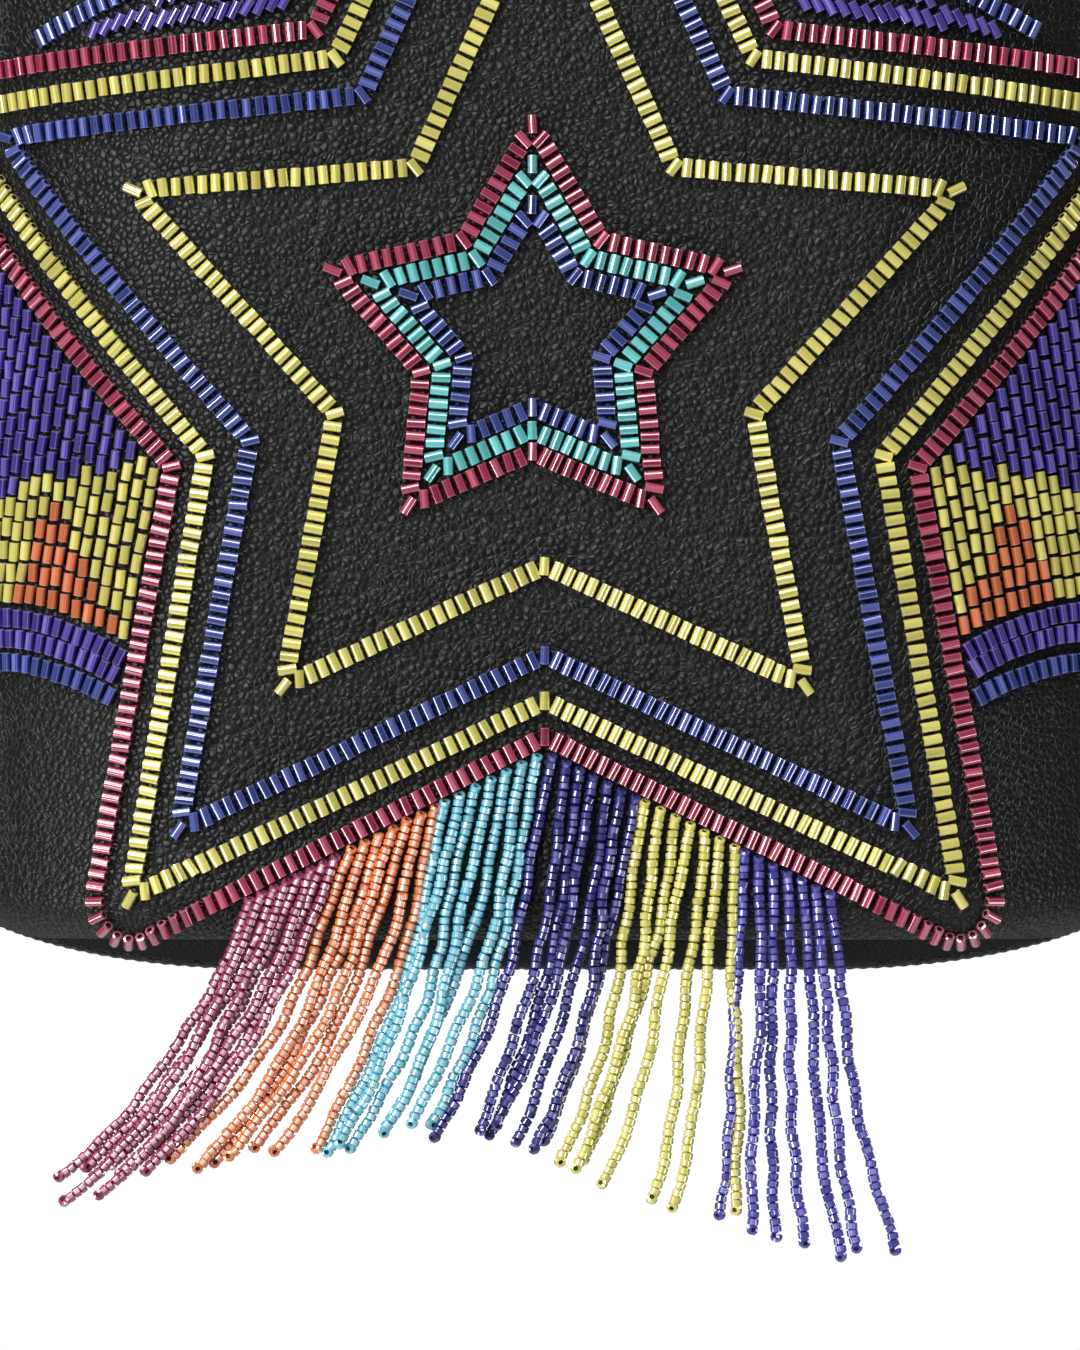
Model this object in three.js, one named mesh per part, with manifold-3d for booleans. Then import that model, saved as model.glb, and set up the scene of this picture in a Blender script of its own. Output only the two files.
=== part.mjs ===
// Beaded backpack: a hollow black leather bag with nested star lines of bugle beads,
// bead-filled fields between the star's arms and a six-colour bead fringe.
// Bag coordinates in millimetres: X across, Y back from the front face, Z up from the lowest edge.
// The finished group is shifted so that the point the handle hangs from is the origin.

import * as THREE from 'three';
import Module from 'manifold-3d';

const wasm = await Module();
wasm.setup();

const gap = 0.3; // clearance between neighbouring pieces

// Body: a flat middle whose edges roll back on quarter ellipses to the outline
const body = {
  flatHalfWidth: 60,
  flatBottom: 23,
  flatTop: 250,
  sideRoll: 72,
  bottomRoll: 23,
  topRoll: 70,
  frontDepth: 55,
  crown: 3,
  crownMiddle: 150,
  crownReach: 170,
  sidePower: 2,
  bottomPower: 1.5,
  wall: 2,
  foldHeight: 7,
  baseRecess: 1.2,
};
const outlineHalfWidth = body.flatHalfWidth + body.sideRoll;
const outlineTop = body.flatTop + body.topRoll;

const welt = { radius: 1.7, sides: 5, proud: 0.4 };
const sideWall = { front: 59, back: 97, zipEnd: 150, zipHalfWidth: 3.2, tapeThickness: 1.6 };
const back = { roll: 20, rollSteps: 3, coreScale: 0.5 };
const zipSlider = { x: 36, halfWidth: 2.6, length: 24, thickness: 1.8, hole: 1.2 };
const handle = { halfSpan: 42, rise: 34, width: 14, thickness: 4, steps: 16 };
const strap = { width: 28, thickness: 3, steps: 16 };
const strapSlider = { at: 0.74, length: 12, wire: 2, slack: 1 };

// Centre line of the left and right straps: height, distance from the bag's middle, bow behind the back
const strapRoute = [
  { height: 296, side: 38, bow: 0 },
  { height: 276, side: 41, bow: 0 },
  { height: 240, side: 49, bow: 20 },
  { height: 165, side: 63, bow: 40 },
  { height: 90, side: 78, bow: 24 },
  { height: 48, side: 86, bow: 0.4 },
  { height: 28, side: 90, bow: 0 },
];

// Bead lines: bugle beads lie across the line, their length is the line's width
const bead = { length: 3.9, thickness: 2.2, lift: 0.6, lineStep: 11, fieldStep: 11 };
const tightRoll = { below: 30, step: 4 }; // lines take shorter steps round the bottom roll

// Star lines in the flattened plane of the front: tips and inner corners lie on their own circles
const starTipHeight = 137;
const starInnerHeight = 133;
const smallStarHeight = 135.2;
const stars = [
  { name: 'star_line_crimson_outer', tip: 168, inner: 82.7, sideReach: 0.94, round: 8, color: '#b0224f' },
  { name: 'star_line_yellow_outer', tip: 149.5, inner: 75.2, sideReach: 0.94, round: 0, color: '#e2d964' },
  { name: 'star_line_blue_outer', tip: 131.4, inner: 65.5, sideReach: 0.946, round: 0, color: '#2f4ab0' },
  { name: 'star_line_yellow_middle', tip: 93.9, inner: 46.6, sideReach: 0.974, round: 0, color: '#e2d964' },
];
const smallStars = [
  { name: 'star_line_crimson_inner', tip: 44.4, inner: 24.8, sideReach: 1, round: 0, color: '#b0224f' },
  { name: 'star_line_aqua_inner', tip: 35.9, inner: 20.1, sideReach: 1, round: 0, color: '#5fc9d6' },
  { name: 'star_line_blue_inner', tip: 27.4, inner: 15.3, sideReach: 1, round: 0, color: '#2f4ab0' },
];
const smallStarOffset = -2.6;

// Edges of the fields: height at a distance from the middle, slope and bend, and whether it hangs as a swag
const swag = { flatFrom: 120, sag: 0.00946 };
const edges = {
  armUnder: { height: 105.7, at: 80.6, slope: 1.139, bend: 0, hangs: false },
  violetFoot: { height: 108.6, at: 82.6, slope: -0.15, bend: 0, hangs: false },
  yellowTop: { height: 108, at: 82.6, slope: -0.15, bend: 0, hangs: false },
  yellowFoot: { height: 79.9, at: 0, slope: 0, bend: 0, hangs: true },
  bandTop: { height: 79.3, at: 0, slope: 0, bend: 0, hangs: true },
  bandFoot: { height: 70.5, at: 0, slope: 0, bend: 0, hangs: true },
  lowerRow: { height: 66.1, at: 0, slope: 0, bend: 0, hangs: true },
  armTop: { height: 203.4, at: 48.6, slope: -0.108, bend: 0, hangs: false },
  upperFieldTop: { height: 217, at: 44, slope: -0.3, bend: -0.001, hangs: false },
  upperRow: { height: 221, at: 44, slope: -0.3, bend: -0.001, hangs: false },
};
const fields = [
  { name: 'violet_field_lower', foot: 'violetFoot', top: 'armUnder',
    innerFoot: 84.4, innerTop: 84.6, outerFoot: 154, outerTop: 143, rows: 5, color: '#5b45b5' },
  { name: 'yellow_field', foot: 'yellowFoot', top: 'yellowTop',
    innerFoot: 88.4, innerTop: 82.8, outerFoot: 154, outerTop: 154, rows: 3, color: '#e2d964' },
  { name: 'violet_band', foot: 'bandFoot', top: 'bandTop',
    innerFoot: 90.4, innerTop: 88.8, outerFoot: 154, outerTop: 154, rows: 2, color: '#5b45b5' },
  { name: 'violet_field_upper', foot: 'armTop', top: 'upperFieldTop',
    innerFoot: 51, innerTop: 46, outerFoot: 92, outerTop: 92, rows: 2, color: '#5b45b5' },
];
const borderRows = [
  { name: 'border_row_lower', edge: 'lowerRow', inner: 93, outer: 154, color: '#2f4ab0' },
  { name: 'border_row_upper', edge: 'upperRow', inner: 48, outer: 106, color: '#2f4ab0' },
];

// Fringe groups: where the strands start along the notch and where they end below the bag
const fringe = { notchHeight: 50.2, notchSlope: 0.497, headDrop: 4, headHalf: 1.1, headThickness: 2,
  strandHalf: 0.9, steps: 5, early: 0.45, swing: 1.5 };
const fringeGroups = [
  { name: 'fringe_crimson', strands: 8, start: [-62.5, -44.4], end: [-103.8, -85.8], drop: [-46, -41],
    color: '#c25577' },
  { name: 'fringe_orange', strands: 7, start: [-41, -23.2], end: [-79.5, -51], drop: [-40, -36],
    color: '#ef8f57' },
  { name: 'fringe_aqua', strands: 8, start: [-21.2, -1.6], end: [-44.5, -23.3], drop: [-38, -34],
    color: '#6fcbd8' },
  { name: 'fringe_navy', strands: 7, start: [1.6, 19.2], end: [-13.8, 1.4], drop: [-34, -38],
    color: '#3a3a86' },
  { name: 'fringe_yellow', strands: 7, start: [21.2, 40.3], end: [4, 38.5], drop: [-40, -52],
    color: '#e2d964' },
  { name: 'fringe_violet', strands: 7, start: [42.3, 60.4], end: [42.5, 76.3], drop: [-52, -60],
    color: '#6a57bd' },
];

const leather = { color: '#1c1c1e', roughness: 0.55, metalness: 0 };
const metal = { color: '#8d8a85', roughness: 0.3, metalness: 1 };

const bag = new THREE.Group();
const zipMiddle = (sideWall.front + sideWall.back) / 2;
const zipFrontEdge = zipMiddle - sideWall.zipHalfWidth - gap;
const zipBackEdge = zipMiddle + sideWall.zipHalfWidth + gap;
const hangPoint = new THREE.Vector3(
  0,
  (zipBackEdge + sideWall.back) / 2,
  outlineTop + gap + handle.rise - handle.thickness / 2,
);

function addPiece(name, geometry, finish) {
  geometry.computeVertexNormals();
  const mesh = new THREE.Mesh(geometry, new THREE.MeshStandardMaterial(finish));
  mesh.name = name;
  bag.add(mesh);
}

function glass(color) {
  return { color, roughness: 0.15, metalness: 0 };
}

function lerp(from, to, share) {
  return from + (to - from) * share;
}

// Closed mesh through equal sections; the ends close on each other, on ladders or on a middle point
function loft(sections, ends) {
  const count = sections[0].length;
  const positions = sections.flat().flatMap((point) => point.toArray());
  const triangles = [];
  const joins = ends === 'loop' ? sections.length : sections.length - 1;
  for (let row = 0; row < joins; row += 1) {
    const next = ((row + 1) % sections.length) * count;
    for (let i = 0; i < count; i += 1) {
      const j = (i + 1) % count;
      triangles.push([row * count + i, row * count + j, next + j]);
      triangles.push([row * count + i, next + j, next + i]);
    }
  }
  const last = (sections.length - 1) * count;
  if (ends === 'ladder') {
    for (let i = 0; i < count / 2 - 1; i += 1) {
      const mirror = count - 1 - i;
      triangles.push([i, mirror, mirror - 1], [i, mirror - 1, i + 1]);
      triangles.push([last + i, last + mirror - 1, last + mirror]);
      triangles.push([last + i, last + i + 1, last + mirror - 1]);
    }
  }
  if (ends === 'middle') {
    const first = positions.length / 3;
    positions.push(...middleOf(sections[0]).toArray(), ...middleOf(sections.at(-1)).toArray());
    for (let i = 0; i < count; i += 1) {
      const j = (i + 1) % count;
      triangles.push([first, j, i], [first + 1, last + i, last + j]);
    }
  }
  return outwardGeometry(positions, triangles);
}

function middleOf(points) {
  const sum = points.reduce((total, point) => total.add(point), new THREE.Vector3());
  return sum.divideScalar(points.length);
}

// Geometry whose faces point outwards, whichever way round the sections were given
function outwardGeometry(positions, triangles) {
  const corner = (index) => new THREE.Vector3().fromArray(positions, index * 3);
  const volume = triangles.reduce(
    (total, [a, b, c]) => total + corner(a).dot(corner(b).cross(corner(c))),
    0,
  );
  const ordered = volume < 0 ? triangles.map(([a, b, c]) => [a, c, b]) : triangles;
  const geometry = new THREE.BufferGeometry();
  geometry.setAttribute('position', new THREE.Float32BufferAttribute(positions, 3));
  geometry.setIndex(ordered.flat());
  return geometry;
}

// Outline stations: an anchor on the flat middle, a direction, and the roll's two radii
function edgeStations(from, to, angle, count) {
  return Array.from({ length: count }, (_, i) => ({
    x: lerp(from[0], to[0], i / count),
    z: lerp(from[1], to[1], i / count),
    cos: Math.cos(angle),
    sin: Math.sin(angle),
  }));
}

function cornerStations(anchor, startAngle, count) {
  return Array.from({ length: count }, (_, i) => {
    const angle = startAngle + (Math.PI / 2) * (i / count);
    return { x: anchor[0], z: anchor[1], cos: Math.cos(angle), sin: Math.sin(angle) };
  });
}

const right = body.flatHalfWidth;
const left = -right;
const low = body.flatBottom;
const high = body.flatTop;
const quarter = Math.PI / 2;
const lowerStations = [
  ...edgeStations([left, sideWall.zipEnd], [left, low], Math.PI, 3),
  ...cornerStations([left, low], Math.PI, 6),
  ...edgeStations([left, low], [right, low], -quarter, 6),
  ...cornerStations([right, low], -quarter, 6),
  ...edgeStations([right, low], [right, sideWall.zipEnd], 0, 3),
];
const upperStations = [
  ...edgeStations([right, sideWall.zipEnd], [right, high], 0, 3),
  ...cornerStations([right, high], 0, 6),
  ...edgeStations([right, high], [left, high], quarter, 4),
  ...cornerStations([left, high], quarter, 6),
  ...edgeStations([left, high], [left, sideWall.zipEnd], Math.PI, 3),
];
const stations = [...lowerStations, ...upperStations];

// A station moved out to a share of its roll, with the outline drawn in by an inset
function rimPoint(station, share, inset, depth) {
  const tall = (station.sin < 0 ? body.bottomRoll : body.topRoll) - inset;
  const wide = body.sideRoll - inset;
  return new THREE.Vector3(
    station.x + share * wide * station.cos,
    depth,
    station.z + share * tall * station.sin,
  );
}

function rollDepth(share, sinBelow, deep) {
  const power = body.sidePower + body.bottomPower * sinBelow ** 2;
  return deep * (1 - (1 - Math.min(1, share) ** power) ** (1 / power));
}

function crownAt(x, z) {
  const across = 1 - (x / outlineHalfWidth) ** 2;
  const upright = 1 - ((z - body.crownMiddle) / body.crownReach) ** 2;
  return body.crown * Math.max(0, across) * Math.max(0, upright);
}

function frontDepth(x, z) {
  const across = Math.max(0, (Math.abs(x) - body.flatHalfWidth) / body.sideRoll);
  const below = Math.max(0, (body.flatBottom - z) / body.bottomRoll);
  const above = Math.max(0, (z - body.flatTop) / body.topRoll);
  const share = Math.hypot(across, below, above);
  return rollDepth(share, share > 0 ? below / share : 0, body.frontDepth) - crownAt(x, z);
}

// Reach across a quarter ellipse after an arc length, so that lines keep their length on the roll
function rollReach(arc, wide) {
  const steps = 60;
  let angle = 0;
  for (let i = 0; i < steps; i += 1) {
    const speed = Math.hypot(wide * Math.cos(angle), body.frontDepth * Math.sin(angle));
    angle += arc / steps / speed;
  }
  return wide * Math.sin(Math.min(angle, quarter));
}

// A point of the flattened front plane, laid on the front and lifted off it
function onFront(u, v, lift) {
  const overSide = Math.max(0, Math.abs(u) - body.flatHalfWidth);
  const overTop = Math.max(0, v - body.flatTop);
  const x = Math.sign(u) * (Math.min(Math.abs(u), body.flatHalfWidth) + rollReach(overSide, body.sideRoll));
  const z = Math.min(v, body.flatTop) + rollReach(overTop, body.topRoll);
  const nudge = 0.05;
  const slopeX = (frontDepth(x + nudge, z) - frontDepth(x - nudge, z)) / (2 * nudge);
  const slopeZ = (frontDepth(x, z + nudge) - frontDepth(x, z - nudge)) / (2 * nudge);
  const normal = new THREE.Vector3(slopeX, -1, slopeZ).normalize();
  return new THREE.Vector3(x, frontDepth(x, z), z).addScaledVector(normal, lift);
}

// Front panel: ends at the fold line along the bottom, at the outline elsewhere
function foldShare(station) {
  const foldReach = (body.flatBottom - body.foldHeight) / body.bottomRoll;
  return station.sin < 0 ? Math.min(1, foldReach / -station.sin) : 1;
}

function frontRing(share, inset) {
  return stations.map((station) => {
    const reach = share * foldShare(station);
    const sinBelow = Math.max(0, -station.sin);
    const depth = inset + rollDepth(reach, sinBelow, body.frontDepth - inset);
    return crowned(rimPoint(station, reach, inset, depth));
  });
}

function crowned(point) {
  return point.setY(point.y - crownAt(point.x, point.z));
}

function coreRing(scale, depth) {
  const middle = (low + high) / 2;
  return stations.map((station) => {
    const x = station.x * scale;
    const z = middle + (station.z - middle) * scale;
    return new THREE.Vector3(x, depth, z);
  });
}

function makeFrontPanel() {
  const coreScales = [0.3, 0.65];
  const shares = [0, 0.3, 0.5, 0.67, 0.8, 0.9, 0.97, 1];
  const face = (inset) => [
    ...coreScales.map((scale) => coreRing(scale, inset).map(crowned)),
    ...shares.map((share) => frontRing(share, inset)),
  ];
  const sections = [...face(0), ...face(body.wall).reverse()];
  addPiece('front_panel', loft(sections, 'middle'), leather);
}

// Base band: the crescent between the fold line and the outline
function makeBaseBand() {
  const rows = [0, 0.5, 1];
  const clear = 0.05;
  const tipAngle = 0.62 * quarter;
  const turned = (corner, steps, from, to) => Array.from({ length: steps }, (_, i) => {
    const angle = -lerp(from, to, i / steps);
    return { x: corner, z: low, cos: Math.cos(angle), sin: Math.sin(angle) };
  });
  const columns = [
    ...turned(left, 4, Math.PI - tipAngle, quarter),
    ...edgeStations([left, low], [right, low], -quarter, 6),
    ...turned(right, 4, quarter, tipAngle),
    { x: right, z: low, cos: Math.cos(tipAngle), sin: -Math.sin(tipAngle) },
  ];
  const sections = columns.map((station) => {
    const point = (row, inset) => {
      const share = lerp(foldShare(station) + clear, 1, row);
      return rimPoint(station, share, inset, inset + rollDepth(share, -station.sin, body.frontDepth - inset));
    };
    const outside = rows.map((row) => point(row, body.baseRecess));
    const inside = rows.map((row) => point(row, body.baseRecess + body.wall));
    return [...outside, ...inside.reverse()];
  });
  addPiece('base_band', loft(sections, 'ladder'), leather);
}

function makeWelt() {
  const middle = body.frontDepth + gap + welt.radius;
  const sections = stations.map((station) => Array.from({ length: welt.sides }, (_, i) => {
    const angle = (i / welt.sides) * Math.PI * 2;
    const inset = welt.radius - welt.proud - welt.radius * Math.cos(angle);
    return rimPoint(station, 1, inset, middle + welt.radius * Math.sin(angle));
  }));
  addPiece('welt', loft(sections, 'loop'), leather);
}

// A strip of the side wall between two depths along a run of stations
function wallStrip(run, front, rear, inset, thickness) {
  const sections = run.map((station) => [
    rimPoint(station, 1, inset, front),
    rimPoint(station, 1, inset, rear),
    rimPoint(station, 1, inset + thickness, rear),
    rimPoint(station, 1, inset + thickness, front),
  ]);
  return loft(sections, 'ladder');
}

function makeSideWall() {
  const gussetRun = [...lowerStations, upperStations[0]];
  const zipRun = [...upperStations, lowerStations[0]];
  const shorten = (station) => ({ ...station, z: station.z + gap });
  zipRun[0] = shorten(zipRun[0]);
  zipRun[zipRun.length - 1] = shorten(zipRun.at(-1));
  addPiece('gusset', wallStrip(gussetRun, sideWall.front, sideWall.back, 0, body.wall), leather);
  addPiece('zip_panel_front', wallStrip(zipRun, sideWall.front, zipFrontEdge, 0, body.wall), leather);
  addPiece('zip_panel_back', wallStrip(zipRun, zipBackEdge, sideWall.back, 0, body.wall), leather);
  const chainRun = wallStrip(
    zipRun,
    zipMiddle - sideWall.zipHalfWidth,
    zipMiddle + sideWall.zipHalfWidth,
    gap,
    sideWall.tapeThickness,
  );
  addPiece('zip_chain', chainRun, metal);
}

// Zip slider: a rounded tongue with a hole, lying along the zip on top of the bag
function makeZipSlider() {
  const { halfWidth, length, thickness, hole } = zipSlider;
  const outline = new THREE.Shape();
  outline.moveTo(0, -halfWidth);
  outline.lineTo(length - halfWidth, -halfWidth);
  outline.absarc(length - halfWidth, 0, halfWidth, -quarter, quarter, false);
  outline.lineTo(0, halfWidth);
  outline.closePath();
  const eye = new THREE.Path();
  eye.absarc(length - halfWidth, 0, hole, 0, Math.PI * 2, true);
  outline.holes.push(eye);
  const geometry = new THREE.ExtrudeGeometry(outline, {
    depth: thickness,
    bevelEnabled: false,
    curveSegments: 4,
  });
  geometry.translate(zipSlider.x, zipMiddle, outlineTop);
  addPiece('zip_slider', geometry, metal);
}

function makeBackPanel() {
  const front = sideWall.back + gap;
  const ring = (angle, wall) => {
    const radius = back.roll - wall;
    const inset = wall + radius * (1 - Math.cos(angle));
    return stations.map((station) => rimPoint(station, 1, inset, front + radius * Math.sin(angle)));
  };
  const angles = Array.from({ length: back.rollSteps + 1 }, (_, i) => quarter * (i / back.rollSteps));
  const face = (wall) => [
    coreRing(back.coreScale, front + back.roll - wall),
    ...angles.map((angle) => ring(angle, wall)).reverse(),
  ];
  const sections = [...face(0), ...face(body.wall).reverse()];
  addPiece('back_panel', loft(sections, 'middle'), leather);
}

// A flat strap swept along points: width across, thickness along each point's own normal
function strapSections(points, normals, across, width, thickness) {
  return points.map((point, i) => {
    const corner = (side, depth) => point.clone()
      .addScaledVector(across, side * width / 2)
      .addScaledVector(normals[i], depth * thickness / 2);
    return [corner(-1, -1), corner(1, -1), corner(1, 1), corner(-1, 1)];
  });
}

function makeHandle() {
  const points = [];
  const normals = [];
  for (let i = 0; i <= handle.steps; i += 1) {
    const angle = Math.PI * (i / handle.steps);
    points.push(new THREE.Vector3(
      handle.halfSpan * Math.cos(angle),
      hangPoint.y,
      outlineTop + gap + handle.rise * Math.sin(angle),
    ));
    normals.push(new THREE.Vector3(
      Math.cos(angle) / handle.halfSpan,
      0,
      Math.sin(angle) / handle.rise,
    ).normalize());
  }
  const across = new THREE.Vector3(0, 1, 0);
  const sections = strapSections(points, normals, across, handle.width, handle.thickness);
  addPiece('handle', loft(sections, 'ladder'), leather);
}

function makeStrap(name, side) {
  const seat = sideWall.back + gap + back.roll + gap + strap.thickness / 2;
  const curve = new THREE.CatmullRomCurve3(strapRoute.map((row) => (
    new THREE.Vector3(side * row.side, seat + row.bow, row.height)
  )));
  const points = curve.getPoints(strap.steps).map((point) => point.setY(Math.max(point.y, seat)));
  const across = new THREE.Vector3(1, 0, 0);
  const normals = points.map((point, i) => {
    const ahead = points[Math.min(i + 1, strap.steps)];
    const behind = points[Math.max(i - 1, 0)];
    const flat = i < 2 || i > strap.steps - 2;
    return flat ? new THREE.Vector3(0, 1, 0) : across.clone().cross(ahead.clone().sub(behind)).normalize();
  });
  const sections = strapSections(points, normals, across, strap.width, strap.thickness);
  addPiece(`strap_${name}`, loft(sections, 'ladder'), leather);
  const at = Math.round(strapSlider.at * strap.steps);
  const middle = points[at].clone().lerp(points[at + 1], 0.5);
  const along = points[at + 1].clone().sub(points[at]).normalize();
  const outward = across.clone().cross(along).normalize();
  addPiece(`strap_slider_${name}`, sliderSleeve(middle, along, across, outward), metal);
}

// Strap slider: a flat metal sleeve that the strap runs through
function sliderSleeve(middle, along, across, outward) {
  const wide = strap.width / 2 + strapSlider.slack;
  const deep = strap.thickness / 2 + strapSlider.slack;
  const corners = [[-1, -1], [1, -1], [1, 1], [-1, 1]];
  const sections = corners.map(([side, face]) => {
    const corner = (wire, end) => middle.clone()
      .addScaledVector(across, side * (wide + wire * strapSlider.wire))
      .addScaledVector(outward, face * (deep + wire * strapSlider.wire))
      .addScaledVector(along, end * strapSlider.length / 2);
    return [corner(0, -1), corner(1, -1), corner(1, 1), corner(0, 1)];
  });
  return loft(sections, 'loop');
}

// Corners of a star in the flattened front plane, tips first
function starCorners(star, tipHeight, innerHeight, offset) {
  const corners = [];
  for (let i = 0; i < 10; i += 1) {
    const angle = quarter - i * (Math.PI / 5);
    const isTip = i % 2 === 0;
    const isSideTip = i === 2 || i === 8;
    const radius = isTip ? star.tip : star.inner;
    const reach = isSideTip ? star.sideReach : 1;
    corners.push({
      point: new THREE.Vector2(
        offset + reach * radius * Math.cos(angle),
        (isTip ? tipHeight : innerHeight) + radius * Math.sin(angle),
      ),
      round: isTip ? star.round : 0,
    });
  }
  return corners;
}

// Closed path through the corners, with the rounded ones replaced by arcs of straight steps
function roundedPath(corners) {
  const path = [];
  corners.forEach(({ point, round }, i) => {
    const before = corners[(i + corners.length - 1) % corners.length].point;
    const after = corners[(i + 1) % corners.length].point;
    if (round === 0) {
      path.push(point);
      return;
    }
    const toBefore = before.clone().sub(point).normalize();
    const toAfter = after.clone().sub(point).normalize();
    const half = Math.acos(toBefore.dot(toAfter)) / 2;
    const bisector = toBefore.clone().add(toAfter).normalize();
    const middle = point.clone().addScaledVector(bisector, round / Math.sin(half));
    const inward = point.clone().sub(middle).normalize();
    const turn = quarter - half;
    const spin = Math.sign(toBefore.cross(toAfter));
    const arcSteps = 4;
    for (let k = 0; k <= arcSteps; k += 1) {
      const angle = spin * turn * (1 - (2 * k) / arcSteps);
      path.push(inward.clone().rotateAround(new THREE.Vector2(), angle).multiplyScalar(round).add(middle));
    }
  });
  return path;
}

function subdivide(path, closed) {
  const points = [];
  path.forEach((point, i) => {
    const isLast = i === path.length - 1;
    if (isLast && !closed) {
      points.push(point);
      return;
    }
    const next = path[(i + 1) % path.length];
    const length = point.distanceTo(next);
    let travelled = 0;
    while (travelled < length) {
      const place = point.clone().lerp(next, travelled / length);
      const step = place.y < tightRoll.below ? tightRoll.step : bead.lineStep;
      points.push(place);
      travelled += length - travelled < 1.5 * step ? length : step;
    }
  });
  return points;
}

// A bead line laid on the front: its width is mitred at each corner of the path
function beadLine(points, closed) {
  const half = bead.length / 2;
  const top = bead.lift + bead.thickness;
  const sections = points.map((point, i) => {
    const wrap = (k) => points[(k + points.length) % points.length];
    const before = closed || i > 0 ? wrap(i - 1) : point;
    const after = closed || i < points.length - 1 ? wrap(i + 1) : point;
    const into = point.clone().sub(before).normalize();
    const out = after.clone().sub(point).normalize();
    const along = into.clone().add(out).normalize();
    const normal = new THREE.Vector2(-along.y, along.x);
    const widen = 1 / Math.max(along.dot(into), along.dot(out));
    const edge = (side, lift) => {
      const place = point.clone().addScaledVector(normal, side * half * widen);
      return onFront(place.x, place.y, lift);
    };
    return [edge(-1, bead.lift), edge(1, bead.lift), edge(1, top), edge(-1, top)];
  });
  return loft(sections, closed ? 'loop' : 'ladder');
}

function makeStars() {
  const lines = [
    ...stars.map((star) => ({ star, corners: starCorners(star, starTipHeight, starInnerHeight, 0) })),
    ...smallStars.map((star) => ({
      star,
      corners: starCorners(star, smallStarHeight, smallStarHeight, smallStarOffset),
    })),
  ];
  lines.forEach(({ star, corners }) => {
    const path = subdivide(roundedPath(corners), true);
    addPiece(star.name, beadLine(path, true), glass(star.color));
  });
}

function edgeHeight(name, u) {
  const { height, at, slope, bend, hangs } = edges[name];
  const sag = hangs ? swag.sag * Math.max(0, swag.flatFrom - u) ** 2 : 0;
  return height + slope * (u - at) + bend * (u - at) ** 2 - sag;
}

// A filled field between two edges, laid on the front as one slab
function fieldSlab(field, side) {
  const columns = Math.ceil((field.outerFoot - field.innerFoot) / bead.fieldStep);
  const sections = [];
  for (let column = 0; column <= columns; column += 1) {
    const share = column / columns;
    const point = (row, lift) => {
      const height = row / field.rows;
      const u = lerp(
        lerp(field.innerFoot, field.innerTop, height),
        lerp(field.outerFoot, field.outerTop, height),
        share,
      );
      const v = lerp(edgeHeight(field.foot, u), edgeHeight(field.top, u), height);
      return onFront(side * u, v, lift);
    };
    const rows = Array.from({ length: field.rows + 1 }, (_, row) => row);
    const under = rows.map((row) => point(row, bead.lift));
    const over = rows.map((row) => point(row, bead.lift + bead.thickness));
    sections.push([...under, ...over.reverse()]);
  }
  return loft(sections, 'ladder');
}

function makeFields(name, side) {
  fields.forEach((field) => {
    addPiece(`${field.name}_${name}`, fieldSlab(field, side), glass(field.color));
  });
  borderRows.forEach((row) => {
    const steps = Math.ceil((row.outer - row.inner) / bead.lineStep);
    const path = Array.from({ length: steps + 1 }, (_, i) => {
      const u = lerp(row.inner, row.outer, i / steps);
      return new THREE.Vector2(side * u, edgeHeight(row.edge, u));
    });
    addPiece(`${row.name}_${name}`, beadLine(path, false), glass(row.color));
  });
}

function solidOf(geometry) {
  const mesh = new wasm.Mesh({
    numProp: 3,
    vertProperties: new Float32Array(geometry.getAttribute('position').array),
    triVerts: new Uint32Array(geometry.getIndex().array),
  });
  return new wasm.Manifold(mesh);
}

function geometryOf(solid) {
  const mesh = solid.getMesh();
  const geometry = new THREE.BufferGeometry();
  geometry.setAttribute('position', new THREE.Float32BufferAttribute(mesh.vertProperties, 3));
  geometry.setIndex(Array.from(mesh.triVerts));
  return geometry;
}

function notchHeight(x) {
  return fringe.notchHeight - fringe.notchSlope * Math.abs(x) - fringe.headDrop;
}

// Head of a fringe group: a flat strip sewn under the notch edge
function fringeHead([from, to]) {
  const margin = 0.5;
  const steps = 3;
  const top = bead.lift + fringe.headThickness;
  const sections = Array.from({ length: steps + 1 }, (_, i) => {
    const x = lerp(from - margin, to + margin, i / steps);
    const z = notchHeight(x);
    const edge = (side, lift) => onFront(x, z + side * fringe.headHalf, lift);
    return [edge(-1, bead.lift), edge(1, bead.lift), edge(1, top), edge(-1, top)];
  });
  return loft(sections, 'ladder');
}

// One strand: falls from the head and drifts sideways more and more towards its end
function fringeStrand(group, share) {
  const startX = lerp(group.start[0], group.start[1], share);
  const endX = lerp(group.end[0], group.end[1], share);
  const endZ = lerp(group.drop[0], group.drop[1], share);
  const start = onFront(startX, notchHeight(startX), bead.lift + fringe.headThickness / 2);
  const half = fringe.strandHalf;
  const sections = Array.from({ length: fringe.steps + 1 }, (_, i) => {
    const fall = i / fringe.steps;
    const drift = fringe.early * fall + (1 - fringe.early) * fall ** 3;
    const x = lerp(startX, endX, drift);
    const y = start.y - fringe.swing * fall;
    const z = lerp(start.z, endZ, fall);
    return [
      new THREE.Vector3(x - half, y - half, z),
      new THREE.Vector3(x + half, y - half, z),
      new THREE.Vector3(x + half, y + half, z),
      new THREE.Vector3(x - half, y + half, z),
    ];
  });
  return loft(sections, 'ladder');
}

function makeFringe() {
  fringeGroups.forEach((group) => {
    let solid = solidOf(fringeHead(group.start));
    for (let i = 0; i < group.strands; i += 1) {
      solid = solid.add(solidOf(fringeStrand(group, i / (group.strands - 1))));
    }
    addPiece(group.name, geometryOf(solid), glass(group.color));
  });
}

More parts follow.
